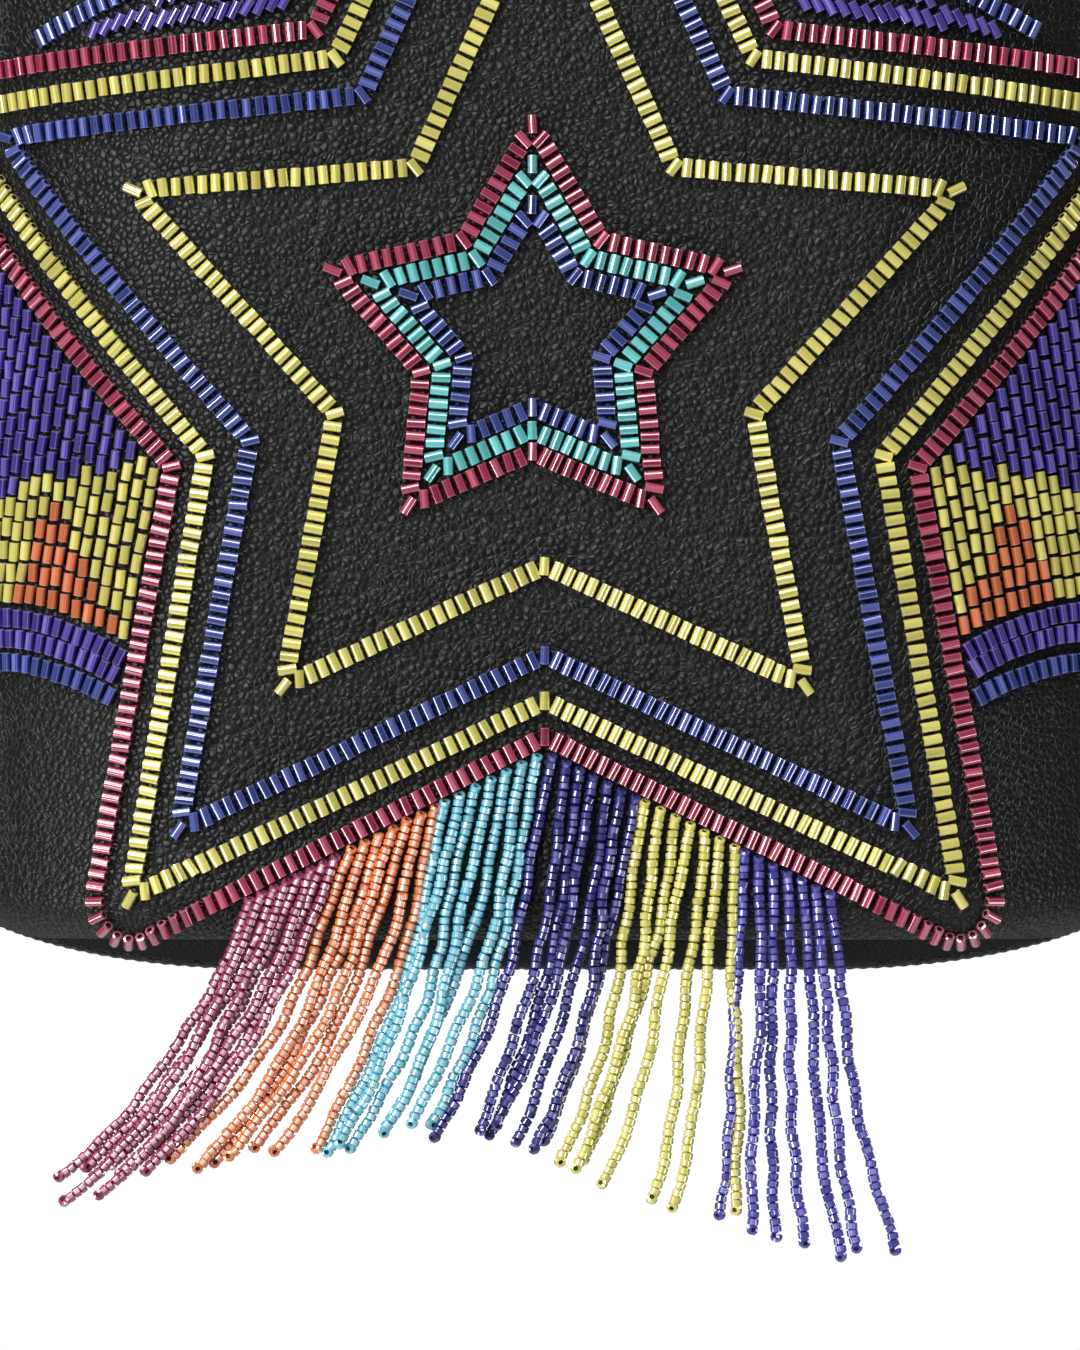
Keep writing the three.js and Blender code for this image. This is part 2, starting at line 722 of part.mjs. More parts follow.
makeFrontPanel();
makeBaseBand();
makeWelt();
makeSideWall();
makeZipSlider();
makeBackPanel();
makeHandle();
makeStrap('left', -1);
makeStrap('right', 1);
makeStars();
makeFields('left', -1);
makeFields('right', 1);
makeFringe();

const backpack = new THREE.Group();
bag.position.copy(hangPoint).negate();
backpack.add(bag);

export default backpack;
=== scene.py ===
# Beaded backpack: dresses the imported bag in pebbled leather, bugle beads and a seed bead fringe
import math
import bpy
import numpy as np
from mathutils import Matrix, Vector


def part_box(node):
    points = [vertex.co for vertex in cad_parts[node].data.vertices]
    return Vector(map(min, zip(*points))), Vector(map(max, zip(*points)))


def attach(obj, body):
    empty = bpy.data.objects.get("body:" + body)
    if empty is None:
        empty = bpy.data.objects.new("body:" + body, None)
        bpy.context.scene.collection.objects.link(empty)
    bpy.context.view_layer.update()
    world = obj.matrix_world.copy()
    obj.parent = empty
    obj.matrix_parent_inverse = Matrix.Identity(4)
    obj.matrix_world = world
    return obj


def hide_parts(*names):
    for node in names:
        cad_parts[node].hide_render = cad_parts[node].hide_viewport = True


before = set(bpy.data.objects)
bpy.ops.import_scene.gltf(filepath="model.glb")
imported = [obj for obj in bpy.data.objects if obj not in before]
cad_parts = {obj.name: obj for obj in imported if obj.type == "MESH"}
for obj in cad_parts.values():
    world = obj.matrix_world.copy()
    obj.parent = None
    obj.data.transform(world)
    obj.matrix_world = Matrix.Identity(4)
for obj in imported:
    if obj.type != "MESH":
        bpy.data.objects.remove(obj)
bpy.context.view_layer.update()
random = np.random.default_rng(11)
mm = 0.001

# the bag's own millimetres: x across, y back from the front face, z up from the lowest edge
bagForm = {
    "flatHalfWidth": 60, "flatBottom": 23, "flatTop": 250,
    "sideRoll": 72, "bottomRoll": 23, "topRoll": 70, "frontDepth": 55,
    "crown": 3, "crownMiddle": 150, "crownReach": 170,
    "sidePower": 2, "bottomPower": 1.5,
    "foldHeight": 7, "baseRecess": 1.2, "wall": 2,
    "wallFront": 59, "wallBack": 97, "zipEnd": 150,
    "backRoll": 20, "gap": 0.3,
}
halfWidth = bagForm["flatHalfWidth"] + bagForm["sideRoll"]
bagTop = bagForm["flatTop"] + bagForm["topRoll"]
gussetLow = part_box("gusset")[0]
bagOrigin = np.array([0, gussetLow[1] - bagForm["wallFront"] * mm, gussetLow[2]])


def toFrame(points):
    return np.asarray(points, float) * mm + bagOrigin


def mixBetween(a, b, share):
    return a + (b - a) * share


def unit(vectors):
    return vectors / np.linalg.norm(vectors, axis=-1, keepdims=True)


def crownAt(x, z):
    across = np.maximum(0, 1 - (x / halfWidth) ** 2)
    upright = np.maximum(0, 1 - ((z - bagForm["crownMiddle"]) / bagForm["crownReach"]) ** 2)
    return bagForm["crown"] * across * upright


def rollDepth(share, sinBelow, deep):
    power = bagForm["sidePower"] + bagForm["bottomPower"] * sinBelow ** 2
    return deep * (1 - (1 - np.minimum(1, share) ** power) ** (1 / power))


def frontDepth(x, z):
    across = np.maximum(0, (np.abs(x) - bagForm["flatHalfWidth"]) / bagForm["sideRoll"])
    below = np.maximum(0, (bagForm["flatBottom"] - z) / bagForm["bottomRoll"])
    above = np.maximum(0, (z - bagForm["flatTop"]) / bagForm["topRoll"])
    share = np.sqrt(across ** 2 + below ** 2 + above ** 2)
    sinBelow = below / np.maximum(share, 1e-9)
    return rollDepth(share, sinBelow, bagForm["frontDepth"]) - crownAt(x, z)


def rollReach(arc, wide):
    # how far an arc length reaches across the quarter ellipse of a rolled edge
    angle = np.zeros_like(arc)
    steps = 60
    for step in range(steps):
        pace = np.hypot(wide * np.cos(angle), bagForm["frontDepth"] * np.sin(angle))
        angle = angle + arc / steps / pace
    return wide * np.sin(np.minimum(angle, math.pi / 2))


def onFront(u, v, lift=0.0):
    # a place on the flattened front, laid on the rolled one: point and outward normal
    u = np.asarray(u, float)
    v = np.asarray(v, float)
    flat = bagForm["flatHalfWidth"]
    top = bagForm["flatTop"]
    x = np.sign(u) * (np.minimum(np.abs(u), flat)
                      + rollReach(np.maximum(0, np.abs(u) - flat), bagForm["sideRoll"]))
    z = np.minimum(v, top) + rollReach(np.maximum(0, v - top), bagForm["topRoll"])
    nudge = 0.05
    slopeX = (frontDepth(x + nudge, z) - frontDepth(x - nudge, z)) / (2 * nudge)
    slopeZ = (frontDepth(x, z + nudge) - frontDepth(x, z - nudge)) / (2 * nudge)
    normal = unit(np.stack([slopeX, -np.ones_like(x), slopeZ], -1))
    return np.stack([x, frontDepth(x, z), z], -1) + normal * lift, normal


# shader maths


class Value:
    # a socket whose sums and products add their own Math nodes
    def __init__(self, finish, socket):
        self.finish = finish
        self.socket = socket

    def combine(self, operation, first, second):
        return self.finish.node("ShaderNodeMath", {"operation": operation}, {0: first, 1: second})

    def __add__(self, other):
        return self.combine("ADD", self, other)

    def __sub__(self, other):
        return self.combine("SUBTRACT", self, other)

    def __rsub__(self, other):
        return self.combine("SUBTRACT", other, self)

    def __mul__(self, other):
        return self.combine("MULTIPLY", self, other)

    def __pow__(self, other):
        return self.combine("POWER", self, other)

    __radd__ = __add__
    __rmul__ = __mul__


class Finish:
    # one material and its principled shader
    def __init__(self, name, **fixed):
        self.material = bpy.data.materials.new(name)
        self.material.use_nodes = True
        self.tree = self.material.node_tree
        self.shader = self.tree.nodes["Principled BSDF"]
        for socket, value in fixed.items():
            self.shader.inputs[socket.replace("_", " ")].default_value = value

    def node(self, kind, settings=None, inputs=None, output=0):
        added = self.tree.nodes.new(kind)
        for name, value in (settings or {}).items():
            setattr(added, name, value)
        for name, value in (inputs or {}).items():
            self.feed(added.inputs[name], value)
        return Value(self, added.outputs[output])

    def feed(self, socket, value):
        if isinstance(value, Value):
            self.tree.links.new(value.socket, socket)
        else:
            socket.default_value = value

    def set(self, socket, value):
        self.feed(self.shader.inputs[socket], value)

    def place(self):
        return self.node("ShaderNodeTexCoord", output="Object")

    def noise(self, scale, detail=2.0, roughness=0.5):
        inputs = {"Vector": self.place(), "Scale": scale, "Detail": detail, "Roughness": roughness}
        return self.node("ShaderNodeTexNoise", None, inputs, "Fac")

    def blend(self, share, first, second):
        inputs = {0: share, 6: first, 7: second}
        return self.node("ShaderNodeMix", {"data_type": "RGBA"}, inputs, 2)

    def absolute(self, value):
        return self.node("ShaderNodeMath", {"operation": "ABSOLUTE"}, {0: value})

    def ramp(self, value, start, finish):
        # nought at start, one at finish, eased between
        inputs = {0: value, 1: start, 2: finish}
        return self.node("ShaderNodeMapRange", {"interpolation_type": "SMOOTHSTEP"}, inputs)

    def bump(self, height, distance, strength):
        inputs = {"Height": height, "Distance": distance, "Strength": strength}
        return self.node("ShaderNodeBump", None, inputs)


def linear(hexColour):
    # a screen colour such as 2f4ab0 as linear red, green and blue
    parts = [int(hexColour[i:i + 2], 16) / 255 for i in (0, 2, 4)]
    return [p / 12.92 if p <= 0.04045 else ((p + 0.055) / 1.055) ** 2.4 for p in parts]


def paint(hexColour):
    return (*linear(hexColour), 1)


leatherLook = {
    "front": {"dark": "060607", "light": "101112", "gloss": 0.37},
    "base": {"dark": "1f1f20", "light": "363637", "gloss": 0.0},  # the strip under the fold is dull: the same leather with its reflection off, and lighter colours painted in for its dim sheen
    "pebble": 0.0015, "soft": 0.35, "creaseWidth": 0.16, "warp": 0.0005, "warpScale": 420.0,
    "fineScale": 2600.0, "broadScale": 14.0, "detail": 3.0, "detailRoughness": 0.6,
    "depth": 0.00052, "roughness": (0.3, 0.5), "scuff": 0.06,
    "rise": {"dome": 0.55, "crease": 0.35, "fine": 0.12},
    # how far the creases darken as painted shade, and how much random tone the broad and fine noise add
    "shade": {"crease": 0.45, "broad": 0.35, "fine": 0.2},
}


def leatherFinish(name, tone):
    finish = Finish(name, Specular_IOR_Level=tone["gloss"])
    place = finish.place()
    wander = finish.node("ShaderNodeTexNoise", None,
                         {"Vector": place, "Scale": leatherLook["warpScale"], "Detail": 1.0}, "Color")
    pull = finish.node("ShaderNodeVectorMath", {"operation": "MULTIPLY_ADD"},
                       {0: wander, 1: (leatherLook["warp"],) * 3, 2: place})
    density = 1 / leatherLook["pebble"]
    cells = finish.node("ShaderNodeTexVoronoi", {"feature": "SMOOTH_F1"},
                        {"Vector": pull, "Scale": density, "Smoothness": leatherLook["soft"]}, "Distance")
    nearEdge = finish.node("ShaderNodeTexVoronoi", {"feature": "DISTANCE_TO_EDGE"},
                           {"Vector": pull, "Scale": density}, "Distance")
    crease = finish.node("ShaderNodeMapRange", None, {0: nearEdge, 2: leatherLook["creaseWidth"]})
    fine, broad = (finish.noise(leatherLook[scale], leatherLook["detail"], leatherLook["detailRoughness"])
                   for scale in ("fineScale", "broadScale"))
    dome = 1 - cells
    rise = leatherLook["rise"]
    height = dome * rise["dome"] + crease * rise["crease"] + fine * rise["fine"]
    finish.set("Normal", finish.bump(height, leatherLook["depth"], 1.0))
    shade = leatherLook["shade"]
    # darker colour in the creases between pebbles is painted shade; the broad and fine noise are random tone
    share = crease * shade["crease"] + broad * shade["broad"] + fine * shade["fine"]
    finish.set("Base Color", finish.blend(share, paint(tone["dark"]), paint(tone["light"])))
    smooth, rough = leatherLook["roughness"]
    finish.set("Roughness", rough - (rough - smooth) * crease + broad * leatherLook["scuff"])
    return finish.material


beadColours = {
    "crimson": "900f3d", "yellow": "d6cc64", "blue": "20337f", "aqua": "58b8b8",
    "violet": "352282", "orange": "d16d39",
}
fringeColours = {
    "crimson": "97305c", "orange": "d97d45", "aqua": "66b4c8", "navy": "2f2c78",
    "yellow": "ddd676", "violet": "4c45a0",
}
# the bore, reach, shine, line and end keys set where and how strongly highlights are painted into each bead's
# colour
bugleLook = {
    "roughness": 0.16, "metallic": 0.3, "coat": 1.0, "coatRoughness": 0.03, "coatIOR": 2.0,
    "bore": (0.34, 0.46), "reach": (0.8, 0.93), "shine": 0.4, "even": 0.0, "paintedEndGlint": 0.3,
    "lineAt": 0.66, "lineWidth": 0.13, "paintedLineShare": 0.38, "pale": 0.35, "vary": (0.88, 1.35),
}
seedLook = {
    "roughness": 0.2, "metallic": 0.25, "coat": 1.0, "coatRoughness": 0.05, "coatIOR": 1.7,
    "bore": (0.3, 0.62), "reach": (0.5, 0.85), "shine": 0.4, "even": 0.0, "paintedEndGlint": 0.0,
    "lineAt": 0.62, "lineWidth": 0.05, "paintedLineShare": 0.2, "pale": 0.5, "vary": (0.92, 1.14),
}
# the violet beads differ more from one to the next
bugleGleam = {"violet": {"vary": (0.92, 1.55), "pale": 0.4}}
# the bore shows as a pale square in nearly every bead of these strands: the silver lining seen through the
# glass, with a painted highlight
seedGleam = {
    "crimson": {"bore": (0.16, 0.44), "shine": 0.9, "even": 0.45, "pale": 0.85},
    "orange": {"bore": (0.16, 0.44), "shine": 0.9, "even": 0.55, "pale": 0.85, "vary": (1.0, 1.25)},
    "aqua": {"shine": 0.65, "even": 0.45, "pale": 0.7, "vary": (1.05, 1.35)},
}
toneShare = {"gleamPower": 1.6, "roughness": 0.08}  # what a bead's own tone does to the strength of its painted highlight and to its gloss


def beadFinish(name, hexColour, look):
    # tone varies from bead to bead; across and along are the place on the bead
    finish = Finish("glass_" + name, Metallic=look["metallic"], Coat_Weight=look["coat"],
                    Coat_Roughness=look["coatRoughness"], Coat_IOR=look["coatIOR"])
    colour = np.array(linear(hexColour))
    pale = mixBetween(colour / colour.max(), np.ones(3), look["pale"])  # the tint of the silver lining and of the painted highlights
    tone, across, along = (finish.node("ShaderNodeAttribute", {"attribute_name": row}, None, "Fac")
                           for row in ("tone", "across", "along"))
    side = finish.absolute(across)
    end = finish.absolute(along)
    core, wall = look["bore"]
    full, none = look["reach"]
    # the pale core: the silver lining seen through the glass, partly a painted highlight that stands in for
    # its reflection
    bore = finish.ramp(side, wall, core) * finish.ramp(end, none, full)
    # pale lines along both sides of each bead: painted highlights
    line = finish.ramp(finish.absolute(side - look["lineAt"]), look["lineWidth"], 0.0)
    # pale ends of each bead: a painted glint
    paintedEndGlint = finish.ramp(end, full, none)
    body = finish.blend(tone, *[(*(colour * share), 1) for share in look["vary"]])
    # how strong each bead's painted highlight is
    paintedGleam = ((tone ** toneShare["gleamPower"]) * (1 - look["even"]) + look["even"]) * look["shine"]
    share = bore * paintedGleam + line * look["paintedLineShare"] + paintedEndGlint * look["paintedEndGlint"]
    finish.set("Base Color", finish.blend(share, body, (*pale, 1)))
    finish.set("Roughness", look["roughness"] + tone * toneShare["roughness"])
    return finish.material


# the pit at each bead end is painted near-black: painted shade for the dark inside of a hole
holeShadeLook = {"dark": (0.004, 0.004, 0.005, 1), "light": (0.02, 0.018, 0.02, 1),
            "speck": 900.0, "roughness": 0.6}


def holeShadeFinish():
    finish = Finish("bead_hole_painted_shade", Roughness=holeShadeLook["roughness"])
    speck = finish.noise(holeShadeLook["speck"])
    finish.set("Base Color", finish.blend(speck, holeShadeLook["dark"], holeShadeLook["light"]))
    return finish.material


leather = leatherFinish("pebbled_leather", leatherLook["front"])
baseLeatherPaintedSheen = leatherFinish("base_leather_painted_sheen", leatherLook["base"])
hole = holeShadeFinish()
glass = {name: beadFinish(name, colour, {**bugleLook, **bugleGleam.get(name, {})})
         for name, colour in beadColours.items()}
fringeGlass = {name: beadFinish("fringe_" + name, colour, {**seedLook, **seedGleam.get(name, {})})
               for name, colour in fringeColours.items()}
print("finishes ready")


# building helpers


def clearSelection():
    if bpy.context.object and bpy.context.object.mode != "OBJECT":
        bpy.ops.object.mode_set(mode="OBJECT")
    bpy.ops.object.select_all(action="DESELECT")


def activate(piece):
    clearSelection()
    piece.select_set(True)
    bpy.context.view_layer.objects.active = piece


def applyModifier(piece, kind, **settings):
    activate(piece)
    modifier = piece.modifiers.new(kind.lower(), kind)
    for name, value in settings.items():
        setattr(modifier, name, value)
    bpy.ops.object.modifier_apply(modifier=modifier.name)


sheetForm = {"weld": 2e-6, "smooth": math.radians(50)}  # metres, and the sharpest angle that stays smooth


def gridSheet(name, columns, rows, pointAt, capped=False, outwardFrom=None):
    # a grid primitive laid out by a function of two shares; edges that meet are sewn together
    clearSelection()
    bpy.ops.mesh.primitive_grid_add(x_subdivisions=columns, y_subdivisions=rows, size=2)
    piece = bpy.context.object
    piece.name = name
    places = np.empty(len(piece.data.vertices) * 3)
    piece.data.vertices.foreach_get("co", places)
    places = places.reshape(-1, 3)
    points = toFrame(pointAt((places[:, 0] + 1) / 2, (places[:, 1] + 1) / 2))
    piece.data.vertices.foreach_set("co", points.ravel())
    piece.data.update()
    bpy.ops.object.mode_set(mode="EDIT")
    bpy.ops.mesh.select_all(action="SELECT")
    bpy.ops.mesh.remove_doubles(threshold=sheetForm["weld"])
    if capped:
        bpy.ops.mesh.select_all(action="DESELECT")
        bpy.ops.mesh.select_non_manifold(use_wire=False, use_multi_face=False,
                                         use_non_contiguous=False, use_verts=False)
        bpy.ops.mesh.fill_holes(sides=0)
        bpy.ops.mesh.select_all(action="SELECT")
    bpy.ops.mesh.normals_make_consistent(inside=False)
    bpy.ops.object.mode_set(mode="OBJECT")
    if outwardFrom is not None:
        turnOutward(piece, toFrame(outwardFrom))
    bpy.ops.object.shade_smooth_by_angle(angle=sheetForm["smooth"])
    return piece


def turnOutward(piece, middle):
    # an open sheet shows its outer side away from the middle
    outward = sum(face.normal.dot(face.center - Vector(middle)) * face.area
                  for face in piece.data.polygons)
    if outward < 0:
        piece.data.flip_normals()


def dress(piece, material, slot, *nodes):
    piece.data.materials.clear()
    piece.data.materials.append(material)
    settle(piece, slot, *nodes)


def settle(piece, slot, *nodes):
    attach(piece, "root")
    if nodes:
        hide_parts(*nodes)


def quarterLength(wide, high):
    # near enough the length of a quarter ellipse
    return math.pi / 2 * math.sqrt((wide ** 2 + high ** 2) / 2)


# the outline runs from the bottom edge up the right side, over the top and down the left side
bottomLength = 2 * bagForm["flatHalfWidth"]
sideLength = bagForm["flatTop"] - bagForm["flatBottom"]
lowCorner = quarterLength(bagForm["sideRoll"], bagForm["bottomRoll"])
highCorner = quarterLength(bagForm["sideRoll"], bagForm["topRoll"])
rimRuns = [bottomLength, lowCorner, sideLength, highCorner, bottomLength, highCorner, sideLength, lowCorner]
rimLength = sum(rimRuns)
rimKnots = np.concatenate([[0], np.cumsum(rimRuns)]) / rimLength
rimAngles = np.radians([-90, -90, 0, 0, 90, 90, 180, 180, 270])
rimAcross = np.array([-1, 1, 1, 1, 1, -1, -1, -1, -1]) * bagForm["flatHalfWidth"]
rimUp = np.array([0, 0, 0, 1, 1, 1, 1, 0, 0]) * sideLength + bagForm["flatBottom"]


def rimAnchor(place):
    place = np.mod(place, 1)
    return [np.interp(place, rimKnots, row) for row in (rimAcross, rimUp, rimAngles)]


def rimAt(place, share=1.0, inset=0.0, depth=0.0):
    x, z, angle = rimAnchor(place)
    high = np.where(np.sin(angle) < 0, bagForm["bottomRoll"], bagForm["topRoll"])
    x = x + np.cos(angle) * (bagForm["sideRoll"] * share - inset)
    z = z + np.sin(angle) * (high * share - inset)
    return np.stack([x, depth + 0 * x, z], -1)


def frontAt(place, share, recess=0.0):
    # the rolled front, sunk by a recess
    below = np.maximum(0, -np.sin(rimAnchor(place)[2]))
    points = rimAt(place, share, recess)
    roll = rollDepth(share, below, bagForm["frontDepth"])
    points[..., 1] = roll - crownAt(points[..., 0], points[..., 2]) + recess
    return points


def foldShare(place):
    # how far the front runs before it folds under along the bottom
    below = np.maximum(1e-6, -np.sin(rimAnchor(place)[2]))
    return np.minimum(1, (bagForm["flatBottom"] - bagForm["foldHeight"]) / (bagForm["bottomRoll"] * below))


bagMiddle = (0, 60, 150)
zipStart = (bottomLength + lowCorner + bagForm["zipEnd"] - bagForm["flatBottom"]) / rimLength
zipFinish = 1 + bottomLength / rimLength - zipStart
baseTip = 0.5 * lowCorner / rimLength

shellForm = {"wall": bagForm["wall"], "edge": 0.5}
edgeForm = {"segments": 2, "from": math.radians(60)}


def leatherShell(name, node, pointAt, form, finish=leather):
    # a sheet of leather with its thickness and rounded edges
    form = {**shellForm, **form}
    shell = gridSheet(name, form["columns"], form["rows"], pointAt, outwardFrom=bagMiddle)
    applyModifier(shell, "SOLIDIFY", thickness=form["wall"] * mm, offset=-1)
    applyModifier(shell, "BEVEL", width=form["edge"] * mm, segments=edgeForm["segments"],
                  limit_method="ANGLE", angle_limit=edgeForm["from"])
    dress(shell, finish, "leather_black", node)


frontForm = {"columns": 240, "rows": 54, "core": 0.28}


def frontPoint(across, up):
    core = np.minimum(1, up / frontForm["core"])
    share = np.maximum(0, (up - frontForm["core"]) / (1 - frontForm["core"])) * foldShare(across)
    points = frontAt(across, share)
    spread = np.where(share > 0, 1, core)
    x = points[..., 0] * spread
    z = mixBetween(bagForm["crownMiddle"], points[..., 2], spread)
    y = np.where(share > 0, points[..., 1], -crownAt(x, z))
    return np.stack([x, y, z], -1)


leatherShell("leather_front", "front_panel", frontPoint, frontForm)


def basePoint(across, up):
    place = mixBetween(-baseTip, bottomLength / rimLength + baseTip, across)
    share = mixBetween(foldShare(place), 1, up)
    return frontAt(place, share, bagForm["baseRecess"])


baseForm = {"columns": 120, "rows": 8, "wall": 1.6, "edge": 0.3}
# the base strip wears the dulled copy of the leather, its lighter colour a painted sheen
leatherShell("leather_base", "base_band", basePoint, baseForm, baseLeatherPaintedSheen)

piping = {"radius": 2.1, "depth": 57, "proud": 0.4, "rib": 2.2, "rise": 0.12, "steps": 4, "sides": 8}
pipingRibs = round(rimLength / piping["rib"])


def pipingPoint(across, up):
    wave = 0.5 + 0.5 * np.cos(2 * math.pi * across * pipingRibs)
    radius = piping["radius"] * (1 - piping["rise"] * wave)
    turn = 2 * math.pi * up
    inset = piping["radius"] - piping["proud"]
    points = rimAt(across, 1, inset - radius * np.cos(turn), piping["depth"])
    points[..., 1] += radius * np.sin(turn)
    return points


welt = gridSheet("leather_piping", pipingRibs * piping["steps"], piping["sides"], pipingPoint)
dress(welt, leather, "leather_black", "welt")

# node, first and last place on the outline, front and back edge, bulge
wallStrips = {
    "leather_gusset": ("gusset", zipFinish - 1, zipStart, 58.6, 97.6, 0.5),
    "leather_zip_front": ("zip_panel_front", zipStart, zipFinish, 58.6, 74.5, 0.3),
    "leather_zip_back": ("zip_panel_back", zipStart, zipFinish, 81.5, 97.6, 0.3),
}
stripForm = {"columns": 160, "rows": 8}


def wallStrip(first, last, front, back, bulge):
    def point(across, up):
        swell = bulge * 4 * up * (1 - up)
        margin = bagForm["gap"] / 2 / rimLength
        points = rimAt(mixBetween(first + margin, last - margin, across), 1, -swell)
        points[..., 1] = mixBetween(front, back, up)
        return points
    return point


for name, (node, *strip) in wallStrips.items():
    leatherShell(name, node, wallStrip(*strip), stripForm)

backForm = {"columns": 200, "rows": 24, "rolled": 0.45}


def backPoint(across, up):
    rolled = backForm["rolled"]
    turn = np.minimum(1, up / rolled) * math.pi / 2
    deep = bagForm["backRoll"]
    points = rimAt(across, 1, deep * (1 - np.cos(turn)))
    points[..., 1] = bagForm["wallBack"] + bagForm["gap"] + deep * np.sin(turn)
    inner = np.maximum(0, (up - rolled) / (1 - rolled))[..., None]
    middle = np.array([0, bagForm["wallBack"] + bagForm["gap"] + deep, bagForm["crownMiddle"]])
    return mixBetween(points, middle, inner)


leatherShell("leather_back", "back_panel", backPoint, backForm)
print("leather body ready")


# straps and handle


def smoothThrough(rows, samples):
    # a curve through all the rows, sampled evenly between each pair
    rows = np.array(rows, float)
    padded = np.vstack([2 * rows[0] - rows[1], rows, 2 * rows[-1] - rows[-2]])
    parts = []
    for a, b, c, d in zip(padded, padded[1:], padded[2:], padded[3:]):
        t = np.linspace(0, 1, samples, endpoint=False)[:, None]
        parts.append(0.5 * (2 * b + (c - a) * t + (2 * a - 5 * b + 4 * c - d) * t ** 2
                            + (3 * b - a - 3 * c + d) * t ** 3))
    return np.vstack([*parts, rows[-1]])


def runAlong(points):
    # the length covered at each point of a path
    return np.concatenate([[0], np.cumsum(np.linalg.norm(np.diff(points, axis=0), axis=1))])


def atRun(at, run, rows):
    return np.stack([np.interp(at, run, column) for column in rows.T], -1)


def alongCurve(curve, share):
    return atRun(share, np.linspace(0, 1, len(curve)), curve)


def bulged(share, power):
    # a cosine or sine drawn out towards a square
    return np.sign(share) * np.abs(share) ** power


bandForm = {"sides": 28, "edgePower": 0.22, "facePower": 0.45}


def flatBand(name, node, curve, normals, sideways, form):
    # a flat band with rounded edges that follows a curve
    def point(across, up):
        turn = 2 * math.pi * up
        wide = bulged(np.cos(turn), bandForm["edgePower"]) * form["width"] / 2
        deep = bulged(np.sin(turn), bandForm["facePower"]) * form["thickness"] / 2
        middle = alongCurve(curve, across)
        out = alongCurve(normals, across)
        return middle + sideways * wide[:, None] + out * deep[:, None]
    band = gridSheet(name, form["segments"], bandForm["sides"], point, capped=True)
    dress(band, leather, "leather_black", node)


handleForm = {"halfSpan": 42, "rise": 34, "width": 14, "thickness": 4, "depth": 89.25,
              "samples": 61, "segments": 70}
turns = np.linspace(0, math.pi, handleForm["samples"])
handleCurve = np.stack([handleForm["halfSpan"] * np.cos(turns), np.full_like(turns, handleForm["depth"]),
                        bagTop + bagForm["gap"] + handleForm["rise"] * np.sin(turns)], -1)
handleNormals = unit(np.stack([np.cos(turns) / handleForm["halfSpan"], 0 * turns,
                               np.sin(turns) / handleForm["rise"]], -1))
flatBand("leather_handle", "handle", handleCurve, handleNormals, np.array([0, 1, 0]), handleForm)

# the route's columns: height, distance from the bag's middle, bow behind the back
strapForm = {
    "width": 28, "thickness": 3, "samples": 14, "segments": 120,
    "route": [(296, 38, 0), (276, 41, 0), (240, 49, 20), (165, 63, 40), (90, 78, 24), (48, 86, 0.4),
              (28, 90, 0)],
}
strapSeat = bagForm["wallBack"] + bagForm["backRoll"] + 2 * bagForm["gap"] + strapForm["thickness"] / 2
strapCurves = {}
sides = {"left": -1, "right": 1}
for side, sign in sides.items():
    route = [(sign * out, strapSeat + bow, high) for high, out, bow in strapForm["route"]]
    curve = smoothThrough(route, strapForm["samples"])
    curve[:, 1] = np.maximum(curve[:, 1], strapSeat)
    normals = unit(np.cross((1, 0, 0), np.gradient(curve, axis=0)))
    strapCurves[side] = curve, normals
    flatBand("leather_strap_" + side, "strap_" + side, curve, normals, np.array([1, 0, 0]), strapForm)
print("straps and handle ready")


# beads


def selectFaces(piece, wanted):
    activate(piece)
    bpy.ops.object.mode_set(mode="EDIT")
    bpy.ops.mesh.select_mode(type="FACE")
    bpy.ops.mesh.select_all(action="DESELECT")
    bpy.ops.object.mode_set(mode="OBJECT")
    for face in piece.data.polygons:
        face.select = wanted(face)
    bpy.ops.object.mode_set(mode="EDIT")


beadCut = {"endFacing": 0.9, "lip": 0.02, "sharp": math.radians(50)}


def beadTemplate(sides, radius, length, rim, rise, bore, boreDepth):
    # one bead along z in millimetres: its points, its faces and which faces are bore
    clearSelection()
    bpy.ops.mesh.primitive_cylinder_add(vertices=sides, radius=radius, depth=length - 2 * rise)
    bead = bpy.context.object
    selectFaces(bead, lambda face: abs(face.normal.z) > beadCut["endFacing"])
    bpy.ops.mesh.inset(thickness=rim, depth=rise, use_individual=True)
    bpy.ops.mesh.inset(thickness=beadCut["lip"], depth=-boreDepth, use_individual=True)
    bpy.ops.object.mode_set(mode="OBJECT")
    applyModifier(bead, "EDGE_SPLIT", split_angle=beadCut["sharp"])
    template = takeTemplate(bead, True)
    reach = np.hypot(*template["points"][:, :2].T)
    template["bore"] = [bool(np.all(reach[face] < bore)) for face in template["faces"]]
    return template


def takeTemplate(piece, smooth):
    points = np.array([vertex.co for vertex in piece.data.vertices])
    faces = [list(face.vertices) for face in piece.data.polygons]
    bpy.data.objects.remove(piece)
    return {"points": points, "faces": faces, "bore": [False] * len(faces), "smooth": smooth}


